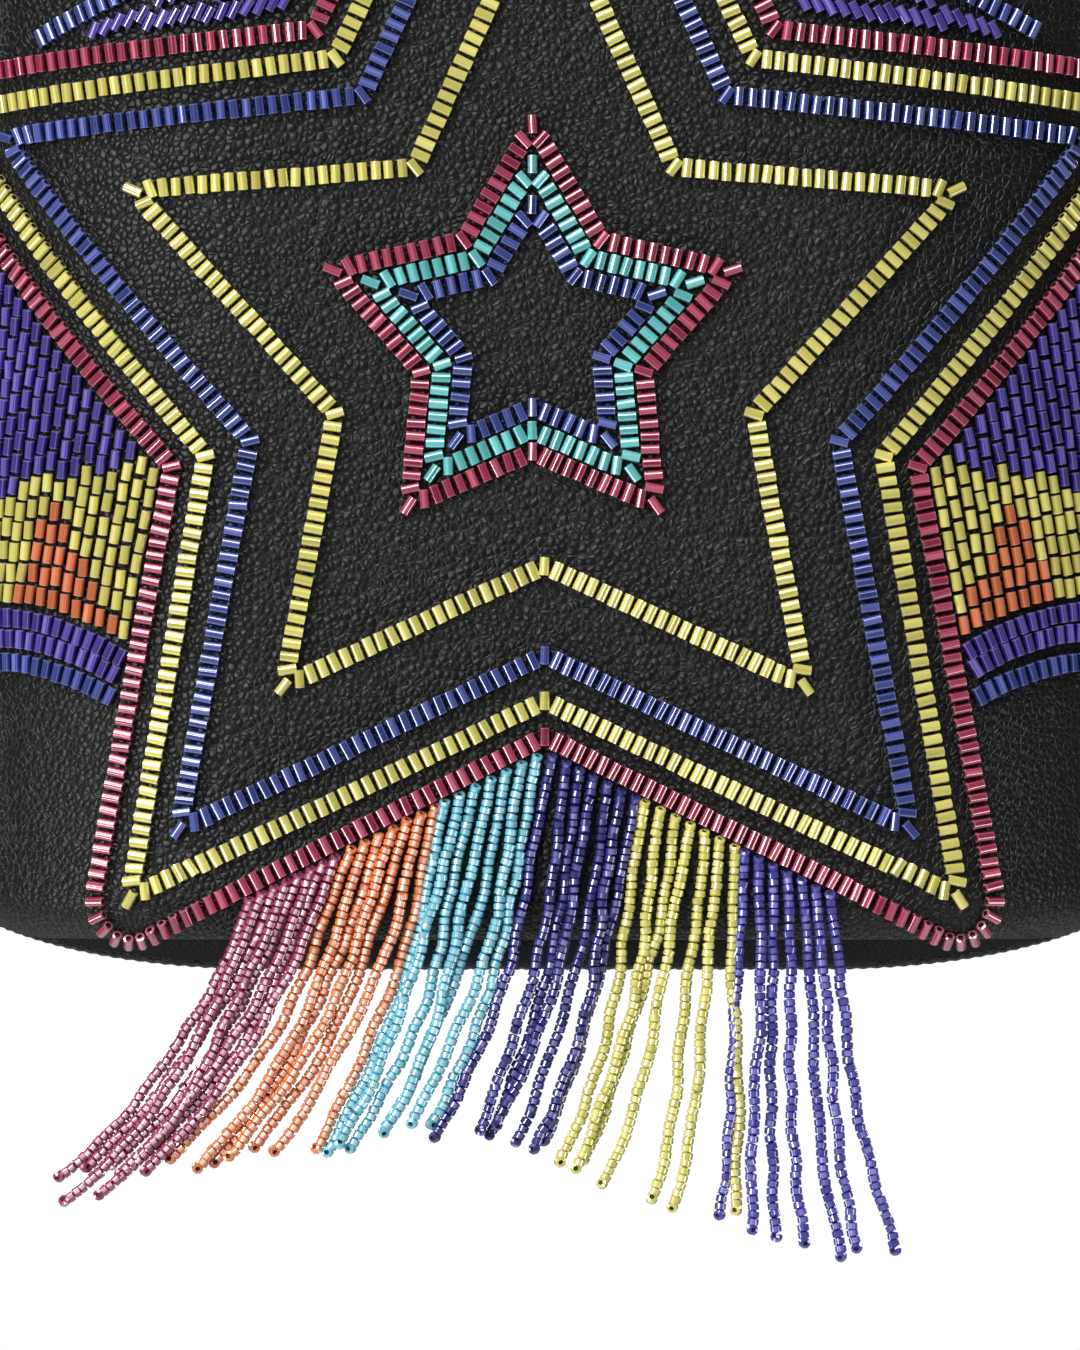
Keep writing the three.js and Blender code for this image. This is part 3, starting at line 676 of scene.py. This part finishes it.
def joinBeads(name, template, places, axes, normals, material, slot, node=None, spread=0.02):
    # all the beads of one line or field in one mesh, each with its own tone
    count = len(places)
    tones = random.random(count)
    side = unit(np.cross(axes, normals))
    out = np.cross(side, axes)
    size = 1 + random.normal(0, spread, count)[:, None, None]
    shape = template["points"][None] * size
    points = (places[:, None] + shape[..., 0:1] * side[:, None] + shape[..., 1:2] * out[:, None]
              + shape[..., 2:3] * axes[:, None])
    step = len(template["points"])
    faces = [[corner + bead * step for corner in face]
             for bead in range(count) for face in template["faces"]]
    mesh = bpy.data.meshes.new(name)
    mesh.from_pydata(toFrame(points.reshape(-1, 3)).tolist(), [], faces)
    mesh.materials.append(material)
    # the second material paints the bead pits near-black as shade
    mesh.materials.append(hole)
    mesh.polygons.foreach_set("material_index", np.tile(np.array(template["bore"], int), count))
    mesh.polygons.foreach_set("use_smooth", np.full(len(faces), template["smooth"]))
    share = template["points"] / template["points"].max(axis=0)
    rows = {"tone": np.repeat(tones, step)}
    rows["across"], rows["along"] = np.tile(share[:, 0], count), np.tile(share[:, 2], count)
    for attribute, values in rows.items():
        layer = mesh.attributes.new(attribute, "FLOAT", "POINT")
        layer.data.foreach_set("value", values.astype(np.float32))
    piece = bpy.data.objects.new(name, mesh)
    bpy.context.scene.collection.objects.link(piece)
    settle(piece, slot, *([node] if node else []))


bugle = {"sides": 10, "radius": 1.1, "length": 4.0, "rim": 0.45, "rise": 0.12, "bore": 0.7, "boreDepth": 0.7}
bugleBead = beadTemplate(**bugle)
sewing = {
    "pitch": 2.75, "rowPitch": 2.6, "lift": 1.3, "wobble": 0.05, "turn": 0.035, "probe": 0.4,
    "leanAt": (-140, -60, -50, 20, 60, 140), "lean": (-0.11, -0.035, -0.035, 0.035, 0.035, -0.02),
    "leanSpread": 0.014, "topLean": 0.07, "topFrom": 194, "topTo": 200,
}


def sewOn(name, spots, colour, node=None, rowLean=0.0):
    # spots are u, v and the direction of the bead's axis on the flattened front
    spots = np.array(spots)
    count = len(spots)
    u = spots[:, 0] + random.normal(0, sewing["wobble"], count)
    v = spots[:, 1] + random.normal(0, sewing["wobble"], count)
    angle = spots[:, 2] + random.normal(0, sewing["turn"], count)
    places, normals = onFront(u, v, sewing["lift"])
    probe = sewing["probe"]
    ahead = onFront(u + probe * np.cos(angle), v + probe * np.sin(angle), sewing["lift"])[0]
    axes = unit(ahead - places)
    # the soft front is not quite flat: its lean changes from left to right, and at the upper left
    across = np.interp(u, sewing["leanAt"], sewing["lean"])
    upward = np.interp(v, (sewing["topFrom"], sewing["topTo"]), (0, sewing["topLean"])) * (u < 0)
    lean = across + upward + rowLean + random.normal(0, sewing["leanSpread"], count)
    axes = unit(axes - normals * (lean * axes[:, 2])[:, None])
    joinBeads(name, bugleBead, places, axes, normals, glass[colour], "bead_" + colour, node)


# radii of the tips and of the notches, how far the side tips reach and how round the tips are
starLines = {
    "crimson_outer": {"tip": 168, "inner": 82.7, "reach": 0.94, "round": 8},
    "yellow_outer": {"tip": 149.5, "inner": 75.2, "reach": 0.94, "round": 0},
    "blue_outer": {"tip": 131.4, "inner": 65.5, "reach": 0.946, "round": 0},
    "yellow_middle": {"tip": 93.9, "inner": 46.6, "reach": 0.974, "round": 0},
    "crimson_inner": {"tip": 44.4, "inner": 24.8, "reach": 1, "round": 0, "small": True},
    "aqua_inner": {"tip": 35.9, "inner": 20.1, "reach": 1, "round": 0, "small": True},
    "blue_inner": {"tip": 27.4, "inner": 15.3, "reach": 1, "round": 0, "small": True},
}
starMiddle = {"tip": 137, "inner": 133, "small": 135.2, "smallShift": -2.6}
starTip = {"clear": 3.5, "out": 0.2, "turn": (0.28, 0.06)}


def starCorners(line):
    small = line.get("small", False)
    corners = []
    for i in range(10):
        angle = math.pi / 2 - i * math.pi / 5
        tip = i % 2 == 0
        radius = line["tip"] if tip else line["inner"]
        reach = line["reach"] if i in (2, 8) else 1
        height = starMiddle["small"] if small else starMiddle["tip" if tip else "inner"]
        shift = starMiddle["smallShift"] if small else 0
        across = shift + reach * radius * math.cos(angle)
        corners.append(np.array([across, height + radius * math.sin(angle)]))
    return corners


def nearTurn(angle, other, share):
    # an axis turned towards another one, the shorter way
    gap = (other - angle + math.pi / 2) % math.pi - math.pi / 2
    return angle + gap * share


def starSpots(line):
    corners = starCorners(line)
    spots = []
    for i, start in enumerate(corners):
        finish = corners[(i + 1) % 10]
        tipFirst = i % 2 == 0
        tip, notch = (start, finish) if tipFirst else (finish, start)
        tipIndex = i if tipFirst else (i + 1) % 10
        inward = unit(unit(corners[tipIndex - 1] - tip) + unit(corners[(tipIndex + 1) % 10] - tip))
        facing = math.atan2(inward[1], inward[0])
        away = unit(notch - tip)
        half = math.acos(float(np.dot(away, inward)))
        clear = line["round"] / math.tan(half) + sewing["pitch"] / 2 if line["round"] else starTip["clear"]
        run = np.linalg.norm(notch - tip)
        count = round((run - clear - sewing["pitch"]) / sewing["pitch"]) + 1
        upright = math.atan2(away[1], away[0]) + math.pi / 2
        for k, reach in enumerate(np.linspace(clear, run - sewing["pitch"], count)):
            turn = starTip["turn"][k] if k < 2 and not line["round"] else 0
            spots.append((*(tip + away * reach), nearTurn(upright, facing, turn)))
        if tipFirst:
            spots.extend(tipSpots(tip, inward, facing, half, line["round"]))
        else:
            fold = unit(unit(corners[i - 1] - start) + unit(finish - start))
            spots.append((*start, math.atan2(fold[1], fold[0])))
    return spots


def tipSpots(tip, inward, facing, half, radius):
    # a sharp tip ends in one bead that points outward, a round one in a fan
    if not radius:
        return [(*(tip - inward * starTip["out"]), facing)]
    middle = tip + inward * radius / math.sin(half)
    sweep = math.pi - 2 * half
    count = round(radius * sweep / sewing["pitch"])
    fan = facing + math.pi + sweep * ((np.arange(count) + 0.5) / count - 0.5)
    return [(middle[0] + radius * math.cos(turn), middle[1] + radius * math.sin(turn), turn) for turn in fan]


for name, line in starLines.items():
    sewOn("beads_star_" + name, starSpots(line), name.split("_")[0], "star_line_" + name)
print("star lines sewn")

# fields and rows beside the star; distances run outward from the bag's middle
edges = {
    "armUnder": {"height": 105.7, "at": 80.6, "slope": 1.139},
    "violetFoot": {"height": 108.6, "at": 82.6, "slope": -0.15},
    "yellowTop": {"height": 108, "at": 82.6, "slope": -0.15},
    "yellowFoot": {"height": 79.9, "hangs": True},
    "bandTop": {"height": 79.3, "hangs": True},
    "bandFoot": {"height": 70.5, "hangs": True},
    "lowerRow": {"height": 66.1, "hangs": True},
    "armTop": {"height": 203.6, "at": 48.6, "slope": -0.126},
    "upperFieldTop": {"height": 202.1, "at": 95.7, "slope": -0.476, "bend": -0.002},
    "upperRow": {"height": 205.1, "at": 95.7, "slope": -0.476, "bend": -0.002},
}
swag = {"from": 120, "drop": 0.00946}


def edgeAt(name, out):
    edge = edges[name]
    if edge.get("hangs"):
        return edge["height"] - swag["drop"] * np.maximum(0, swag["from"] - out) ** 2
    past = out - edge["at"]
    return edge["height"] + edge["slope"] * past + edge.get("bend", 0) * past ** 2


fieldSewing = {"column": 2.46, "upperColumn": 2.95, "stack": 4.32, "least": 3,
               "margin": 0.25, "jitter": 0.2, "rowStep": 0.25}


def columnSpots(inner, outer, foot, top, lean, sign, column, drop=0.0):
    # leaning columns of beads stacked between two edges
    spots = []
    tilt = math.tan(lean)
    for start in np.arange(inner, outer, column):
        ceiling = max(edgeAt(name, start) for name in top) - fieldSewing["margin"]
        floor = edgeAt(foot, start) + fieldSewing["margin"] - drop
        floor = edgeAt(foot, start + tilt * (ceiling - floor)) + fieldSewing["margin"] - drop
        room = ceiling - floor
        count = int(room / fieldSewing["stack"]) or int(room > fieldSewing["least"])
        for k in range(count):
            down = room / count * (k + 0.5)
            high = ceiling - down + random.uniform(-1, 1) * fieldSewing["jitter"]
            spots.append((sign * (start + tilt * down), high, math.pi / 2 + sign * lean))
    return spots


def rowSpots(curve, inner, outer, sign, rise=0.0):
    # one row of upright beads along an edge
    out = np.arange(inner, outer, fieldSewing["rowStep"])
    high = edgeAt(curve, out) + rise
    run = runAlong(np.stack([out, high], -1))
    count = int(run[-1] / sewing["rowPitch"])
    at = np.interp(np.linspace(0, run[-1], count + 1), run, out)
    slope = np.gradient(edgeAt(curve, out), out)
    lean = np.arctan(np.interp(at, out, slope))
    return [(sign * place, edgeAt(curve, place) + rise, math.pi / 2 + sign * tilt)
            for place, tilt in zip(at, lean)]


# stepped triangles: place and height of the top, how fast each side spreads, distance to the next one
triangles = {
    "left": {"apex": 106.2, "top": 99.4, "inner": 0.58, "outer": 0.477, "period": 29},
    "right": {"apex": 100.6, "top": 100.1, "inner": 0.46, "outer": 0.47, "period": 27.3},
}
triangleSlack = 0.7


def fieldColour(side, spot):
    out, high = abs(spot[0]), spot[1]
    if high > edgeAt("violetFoot", out):
        return "violet"
    form = triangles[side]
    down = form["top"] - high
    for away in (out - form["apex"], out - form["apex"] - form["period"]):
        if -form["inner"] * down - triangleSlack < away < form["outer"] * down + triangleSlack:
            return "orange"
    return "yellow"


# where each field and row starts, and its outer end where that is the same left and right
innerEnd = {"field": 82.4, "bandTop": 90.2, "bandFoot": 91.6, "lowerRow": 92.5,
            "upperField": 47.5, "upperRow": 49}
outerEnd = {"field": 152, "row": 153}
upperEnd = {"left": {"field": 97, "row": 109}, "right": {"field": 95, "row": 105.5}}
fieldDrop = {"left": 1.5, "right": 0.2}  # the fields hang a little lower on the left
leans = {"lower": math.radians(11), "upper": math.radians(27), "upperRow": -0.1}
bandInset = 2.2  # from the band's edges to the middle of its two rows
fieldNodes = {"violet": "violet_field_lower_", "yellow": "yellow_field_"}
for side, sign in sides.items():
    drop = fieldDrop[side]
    field = columnSpots(innerEnd["field"], outerEnd["field"], "yellowFoot", ("armUnder", "yellowTop"),
                        leans["lower"], sign, fieldSewing["column"], drop)
    field = [spot for spot in field if abs(spot[0]) < outerEnd["row"]]
    for colour in ("violet", "yellow", "orange"):
        spots = [spot for spot in field if fieldColour(side, spot) == colour]
        node = fieldNodes[colour] + side if colour in fieldNodes else None
        sewOn("beads_" + colour + "_lower_" + side, spots, colour, node)
    band = [spot for curve, rise in (("bandTop", -bandInset), ("bandFoot", bandInset))
            for spot in rowSpots(curve, innerEnd[curve], outerEnd["field"], sign, rise - drop)]
    sewOn("beads_violet_band_" + side, band, "violet", "violet_band_" + side)
    lowerRow = rowSpots("lowerRow", innerEnd["lowerRow"], outerEnd["row"], sign)
    sewOn("beads_row_lower_" + side, lowerRow, "blue", "border_row_lower_" + side)
    upper = columnSpots(innerEnd["upperField"], upperEnd[side]["field"], "armTop", ("upperFieldTop",),
                        leans["upper"], sign, fieldSewing["upperColumn"])
    sewOn("beads_violet_upper_" + side, upper, "violet", "violet_field_upper_" + side)
    upperRow = rowSpots("upperRow", innerEnd["upperRow"], upperEnd[side]["row"], sign)
    sewOn("beads_row_upper_" + side, upperRow, "blue", "border_row_upper_" + side, leans["upperRow"] * sign)
print("fields sewn")

# fringe: strands of small round beads that hang from the lower notch of the outer star
seed = {"sides": 9, "radius": 1.2, "length": 1.66, "rim": 0.59, "rise": 0.24, "bore": 0.56, "boreDepth": 0.4}
seedBead = beadTemplate(**seed)
fringe = {
    "notch": 50.2, "slope": 0.497, "drop": 3.6, "early": 0.58, "swing": 1.5, "pitch": 1.6, "samples": 200,
    "layer": 1.3, "lift": 1.2, "clearBelow": 20, "ends": 0.4, "sway": 1.1, "swayShare": (0.4, 1),
    "swayTurn": (3, 7), "ripple": 0.3, "rippleTurn": (22, 40), "depthWave": 0.4, "depthTurn": 5,
    "rippleFrom": 1 / 3, "layerFrom": 1 / 6,  # share of the strand by which these are in full
    "headTilt": 0.9, "tailTilt": 0.8, "tailAcross": 0.6, "tailUp": 0.5,
    "axisSpread": 0.1, "placeSpread": 0.06, "facing": (0.05, -1, 0.02),
}
# from the first to the last strand of a group: where they start along the notch, and their loose ends
fringeGroups = {
    "crimson": ((-62.5, -44.4), [(-103.3, -43.1), (-101.3, -47.6), (-98, -41.4), (-94.3, -47.5),
                                 (-93.1, -41.2), (-90.2, -42.5), (-87.8, -41), (-84.9, -41.6)]),
    "orange": ((-41, -23.2), [(-80.1, -39.9), (-74.5, -41.4), (-70, -39.9), (-67.6, -39.4), (-62.1, -36.7),
                              (-56.9, -37.6), (-49.6, -38)]),
    "aqua": ((-21.2, -1.6), [(-46, -37.4), (-43.8, -36.2), (-41.5, -37.5), (-34.4, -33.7), (-33, -32),
                             (-28.3, -32.4), (-24.1, -32.6)]),
    "navy": ((1.6, 19.2), [(-23.9, -35.8), (-14.3, -33.7), (-12.2, -35), (-10.8, -33), (-6.3, -36.9),
                           (-2.4, -38.1), (-0.8, -36.1)]),
    "yellow": ((21.2, 40.3), [(2.8, -40.1), (6.4, -42.1), (7.8, -40.5), (12.2, -45.4), (22.5, -47.5),
                              (27.3, -48.9), (40.2, -51.6)]),
    "violet": ((42.3, 60.4), [(36.9, -52.3), (44.1, -54.1), (49, -55.7), (55.2, -56.6), (63.1, -60.6),
                              (66.4, -58.1), (74.7, -58.5)]),
}


def strand(start, end, layer):
    # bead places and axes from the notch down to the loose end
    t = np.linspace(0, 1, fringe["samples"])
    drift = fringe["early"] * t + (1 - fringe["early"]) * t ** 3
    wave = random.uniform(0, 2 * math.pi, 2)
    bow = fringe["sway"] * random.uniform(*fringe["swayShare"]) * 4 * t * (1 - t)
    sway = bow * np.sin(t * random.uniform(*fringe["swayTurn"]) + wave[0])
    ripple = np.sin(t * random.uniform(*fringe["rippleTurn"]) + wave[1])
    ripple = fringe["ripple"] * ripple * np.minimum(1, t / fringe["rippleFrom"])
    x = mixBetween(start[0], end[0], drift) + sway + ripple
    z = mixBetween(start[1], end[1], t)
    surface = onFront(np.full_like(t, start[0]), np.maximum(z, fringe["clearBelow"]))[0][:, 1]
    over = layer * fringe["layer"] * np.minimum(1, t / fringe["layerFrom"])
    deep = fringe["depthWave"] * np.sin(t * fringe["depthTurn"] + wave[1]) * t
    y = np.minimum(surface, 0) - fringe["lift"] - over - fringe["swing"] * t + deep
    path = np.stack([x, y, z], -1)
    run = runAlong(path)
    places = atRun(np.arange(0, run[-1], fringe["pitch"]), run, path)
    axes = unit(np.gradient(places, axis=0))
    axes[0] = unit(axes[0] + np.array([0, fringe["headTilt"], 0]))
    # the last bead turns its hole to the front
    across = random.uniform(-1, 1) * fringe["tailAcross"]
    axes[-1] = unit(np.array([across, -fringe["tailTilt"], random.uniform(-1, 1) * fringe["tailUp"]]))
    return places, axes


for name, (starts, ends) in fringeGroups.items():
    places, axes = [], []
    for k, looseEnd in enumerate(ends):
        startX = mixBetween(*starts, k / (len(ends) - 1))
        start = startX, fringe["notch"] - fringe["slope"] * abs(startX) - fringe["drop"]
        end = np.array(looseEnd) + random.uniform(-1, 1, 2) * fringe["ends"]
        strandPlaces, strandAxes = strand(start, end, k % 2)
        places.append(strandPlaces)
        axes.append(strandAxes)
    places, axes = np.vstack(places), np.vstack(axes)
    axes = unit(axes + random.normal(0, fringe["axisSpread"], axes.shape))
    places = places + random.normal(0, fringe["placeSpread"], places.shape)
    # the painted highlight down the middle of each fringe bead faces this way
    facing = np.tile(fringe["facing"], (len(places), 1))
    joinBeads("fringe_beads_" + name, seedBead, places, axes, facing, fringeGlass[name],
              "bead_" + name, "fringe_" + name)
print("fringe strung")

# zip, sliders and thread
zipForm = {
    "middle": 78, "sink": 0.5, "thickness": 1.2, "round": 160, "across": 20,
    "rows": (0, 0.25, 0.3, 0.7, 0.75, 1), "sides": (-6, -3.45, -3.2, 3.2, 3.45, 6),
    "sinks": (2.4, 2.4, 0.5, 0.5, 2.4, 2.4),
    "pitch": 1.7, "tooth": (0.55, 1.25, 0.5), "toothEdge": 0.18, "reach": 0.75, "rise": 0.35,
}
# roughness: its lowest or highest value, and what the grain adds to it
tapeLook = {"dark": "121214", "light": "242427", "roughness": (0.85, -0.15), "depth": 0.0002, "bump": 0.6,
            "ribs": 320.0, "waver": 1.5}
metalLook = {"dark": "55565a", "light": "7d7f84", "roughness": (0.22, 0.22), "depth": 0.00005, "bump": 0.25,
             "broad": 60.0, "scuff": (600.0, 4.0, 0.65)}
threadLook = {"dark": "1c1c1e", "light": "3c3c40", "roughness": (0.6, 0.2), "depth": 0.0001, "bump": 0.5,
              "twist": 3200.0}


def grainFinish(finish, look, tint, grain):
    finish.set("Base Color", finish.blend(tint, paint(look["dark"]), paint(look["light"])))
    rough, change = look["roughness"]
    finish.set("Roughness", rough + grain * change)
    finish.set("Normal", finish.bump(grain, look["depth"], look["bump"]))
    return finish.material


def tapeFinish():
    finish = Finish("zip_tape", Specular_IOR_Level=0.2)
    weave = {"Vector": finish.place(), "Detail": 2.0,
             "Scale": tapeLook["ribs"], "Distortion": tapeLook["waver"]}
    ribs = finish.node("ShaderNodeTexWave", {"bands_direction": "Y"}, weave, "Fac")
    return grainFinish(finish, tapeLook, ribs, ribs)


def metalFinish():
    finish = Finish("dark_metal", Metallic=1.0)
    return grainFinish(finish, metalLook, finish.noise(metalLook["broad"]), finish.noise(*metalLook["scuff"]))


def threadFinish():
    finish = Finish("sewing_thread", Specular_IOR_Level=0.3)
    twist = finish.noise(threadLook["twist"])
    return grainFinish(finish, threadLook, twist, twist)


metal = metalFinish()
thread = threadFinish()


def tapePoint(across, up):
    # the tape's edges fold down and lie under the strips beside it
    sink = np.interp(up, zipForm["rows"], zipForm["sinks"])
    points = rimAt(mixBetween(zipStart, zipFinish, across), 1, sink)
    points[..., 1] = zipForm["middle"] + np.interp(up, zipForm["rows"], zipForm["sides"])
    return points


tape = gridSheet("zip_tape", zipForm["round"], zipForm["across"], tapePoint, outwardFrom=bagMiddle)
applyModifier(tape, "SOLIDIFY", thickness=zipForm["thickness"] * mm, offset=-1)
dress(tape, tapeFinish(), "metal_zip", "zip_chain")


def boxTemplate(half):
    clearSelection()
    bpy.ops.mesh.primitive_cube_add(size=2)
    box = bpy.context.object
    applyModifier(box, "BEVEL", width=zipForm["toothEdge"], segments=1)
    template = takeTemplate(box, False)
    template["points"] *= np.array(half)
    return template


def rimOut(place):
    angle = rimAnchor(place)[2]
    return np.stack([np.cos(angle), 0 * angle, np.sin(angle)], -1)


toothCount = int((zipFinish - zipStart) * rimLength / zipForm["pitch"]) - 2
teeth = np.arange(toothCount)
toothRim = mixBetween(zipStart, zipFinish, (teeth + 1.5) / (toothCount + 2))
toothPlaces = rimAt(toothRim, 1, zipForm["sink"] - zipForm["rise"])
toothPlaces[:, 1] = zipForm["middle"] + zipForm["reach"] * np.where(teeth % 2, 1, -1)
joinBeads("zip_teeth", boxTemplate(zipForm["tooth"]), toothPlaces, rimOut(toothRim),
          np.tile((0.0, 1.0, 0.0), (toothCount, 1)), metal, "metal_zip", spread=0.0)

for node in ("zip_slider", "strap_slider_left", "strap_slider_right"):
    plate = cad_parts[node]
    plate.data.materials.clear()
    plate.data.materials.append(metal)

stitchForm = {"sides": 6, "radius": 0.34, "length": 2.6, "rim": 0.18, "rise": 0.25,
              "bore": 0, "boreDepth": 0.02}
stitchTemplate = beadTemplate(**stitchForm)
seams = {"strap": 11, "handle": 4.6, "zip": (72.4, 83.6), "zipPoints": 300, "pitch": 3.6, "proud": 0.1}


def stitchLine(curve, normals):
    run = runAlong(curve)
    at = np.arange(seams["pitch"], run[-1] - seams["pitch"], seams["pitch"])
    places = atRun(at, run, curve)
    out = unit(atRun(at, run, normals))
    return places + out * seams["proud"], unit(np.gradient(places, axis=0)), out


def sewSeam(name, *lines):
    places, axes, normals = (np.vstack(rows) for rows in zip(*[stitchLine(*line) for line in lines]))
    joinBeads(name, stitchTemplate, places, axes, normals, thread, "leather_black", spread=0.0)


def edgeSeam(name, curve, normals, sideways, offset, thickness):
    # a line of stitches along each edge of a band
    face = curve + normals * thickness / 2
    sewSeam(name, *[(face + np.array(sideways) * out, normals) for out in (-offset, offset)])


for side, (curve, normals) in strapCurves.items():
    edgeSeam("stitches_strap_" + side, curve, normals, (1, 0, 0), seams["strap"], strapForm["thickness"])
edgeSeam("stitches_handle", handleCurve, handleNormals, (0, 1, 0), seams["handle"], handleForm["thickness"])
zipRim = np.linspace(zipStart, zipFinish, seams["zipPoints"])
sewSeam("stitches_zip", *[(rimAt(zipRim, 1, 0, depth), rimOut(zipRim)) for depth in seams["zip"]])
print("zip and stitches ready")

# stage: a pale floor below the bag that fades out towards its rim; the fade is in metres from the handle
floorForm = {"middle": (0, 60, -430), "radius": 1250, "sides": 96, "roughness": 0.8,
             "fade": (0.75, 1.2), "tone": "b8b8b8", "grain": 40.0, "vary": 0.97}


def floorFinish():
    finish = Finish("pale_floor", Roughness=floorForm["roughness"])
    place = finish.place()
    reach = finish.node("ShaderNodeVectorMath", {"operation": "LENGTH"}, {0: place}, "Value")
    grain = finish.noise(floorForm["grain"])
    tone = np.array(linear(floorForm["tone"]))
    finish.set("Base Color", finish.blend(grain, (*(tone * floorForm["vary"]), 1), (*tone, 1)))
    near, far = floorForm["fade"]
    finish.set("Alpha", finish.ramp(reach, far, near))
    return finish.material


clearSelection()
bpy.ops.mesh.primitive_circle_add(vertices=floorForm["sides"], radius=floorForm["radius"] * mm,
                                  fill_type="NGON")
floor = bpy.context.object
floor.name = "floor"
floor.data.transform(Matrix.Translation(toFrame(floorForm["middle"])))
floor.data.materials.append(floorFinish())

# softboxes: place and aim in bag millimetres, width, height and power in watts
lamps = {
    "left": ((-1750, -2650, 640), (0, 0, 120), 2000, 600, 58),
    "above": ((-730, -1706, 1900), (0, 0, 120), 1900, 1250, 56),
    "back_left": ((-1700, 2300, 1500), (0, 60, 150), 1400, 1800, 110),
    "back_right": ((1700, 2300, 1500), (0, 60, 150), 1400, 1800, 110),
    "low_left": ((-360, -130, -120), (-40, 0, 40), 130, 130, 0.46),
    "low_right": ((360, -130, -120), (40, 0, 40), 130, 130, 0.28),
}
for name, (place, aim, wide, high, power) in lamps.items():
    clearSelection()
    bpy.ops.object.light_add(type="AREA", location=toFrame(place))
    lamp = bpy.context.object
    lamp.name = "softbox_" + name
    lamp.data.shape = "RECTANGLE"
    lamp.data.size, lamp.data.size_y = wide * mm, high * mm
    lamp.data.energy = power
    lamp.visible_camera = False
    look = Vector(toFrame(aim)) - Vector(toFrame(place))
    lamp.rotation_euler = look.to_track_quat("-Z", "Y").to_euler()

# a white room: full white behind the bag, dimmer where it lights the bag
room = {"seen": 1.0, "light": 0.15}
world = bpy.data.worlds.new("studio")
world.use_nodes = True
worldNodes = world.node_tree.nodes
path = worldNodes.new("ShaderNodeLightPath")
strength = worldNodes.new("ShaderNodeMapRange")
strength.inputs["To Min"].default_value = room["light"]
strength.inputs["To Max"].default_value = room["seen"]
world.node_tree.links.new(path.outputs["Is Camera Ray"], strength.inputs["Value"])
world.node_tree.links.new(strength.outputs["Result"], worldNodes["Background"].inputs["Strength"])
worldNodes["Background"].inputs["Color"].default_value = (1, 1, 1, 1)
bpy.context.scene.world = world
bpy.context.scene.view_settings.view_transform = "Standard"

# camera: square on to the front, about 3 m away
camera = {"place": (-1.0, -3000, 63.3), "lens": 377.6, "sensor": 36}
clearSelection()
bpy.ops.object.camera_add(location=toFrame(camera["place"]), rotation=(math.pi / 2, 0, 0))
view = bpy.context.object
view.data.sensor_width = camera["sensor"]
view.data.lens = camera["lens"]
bpy.context.scene.camera = view
print("stage ready")
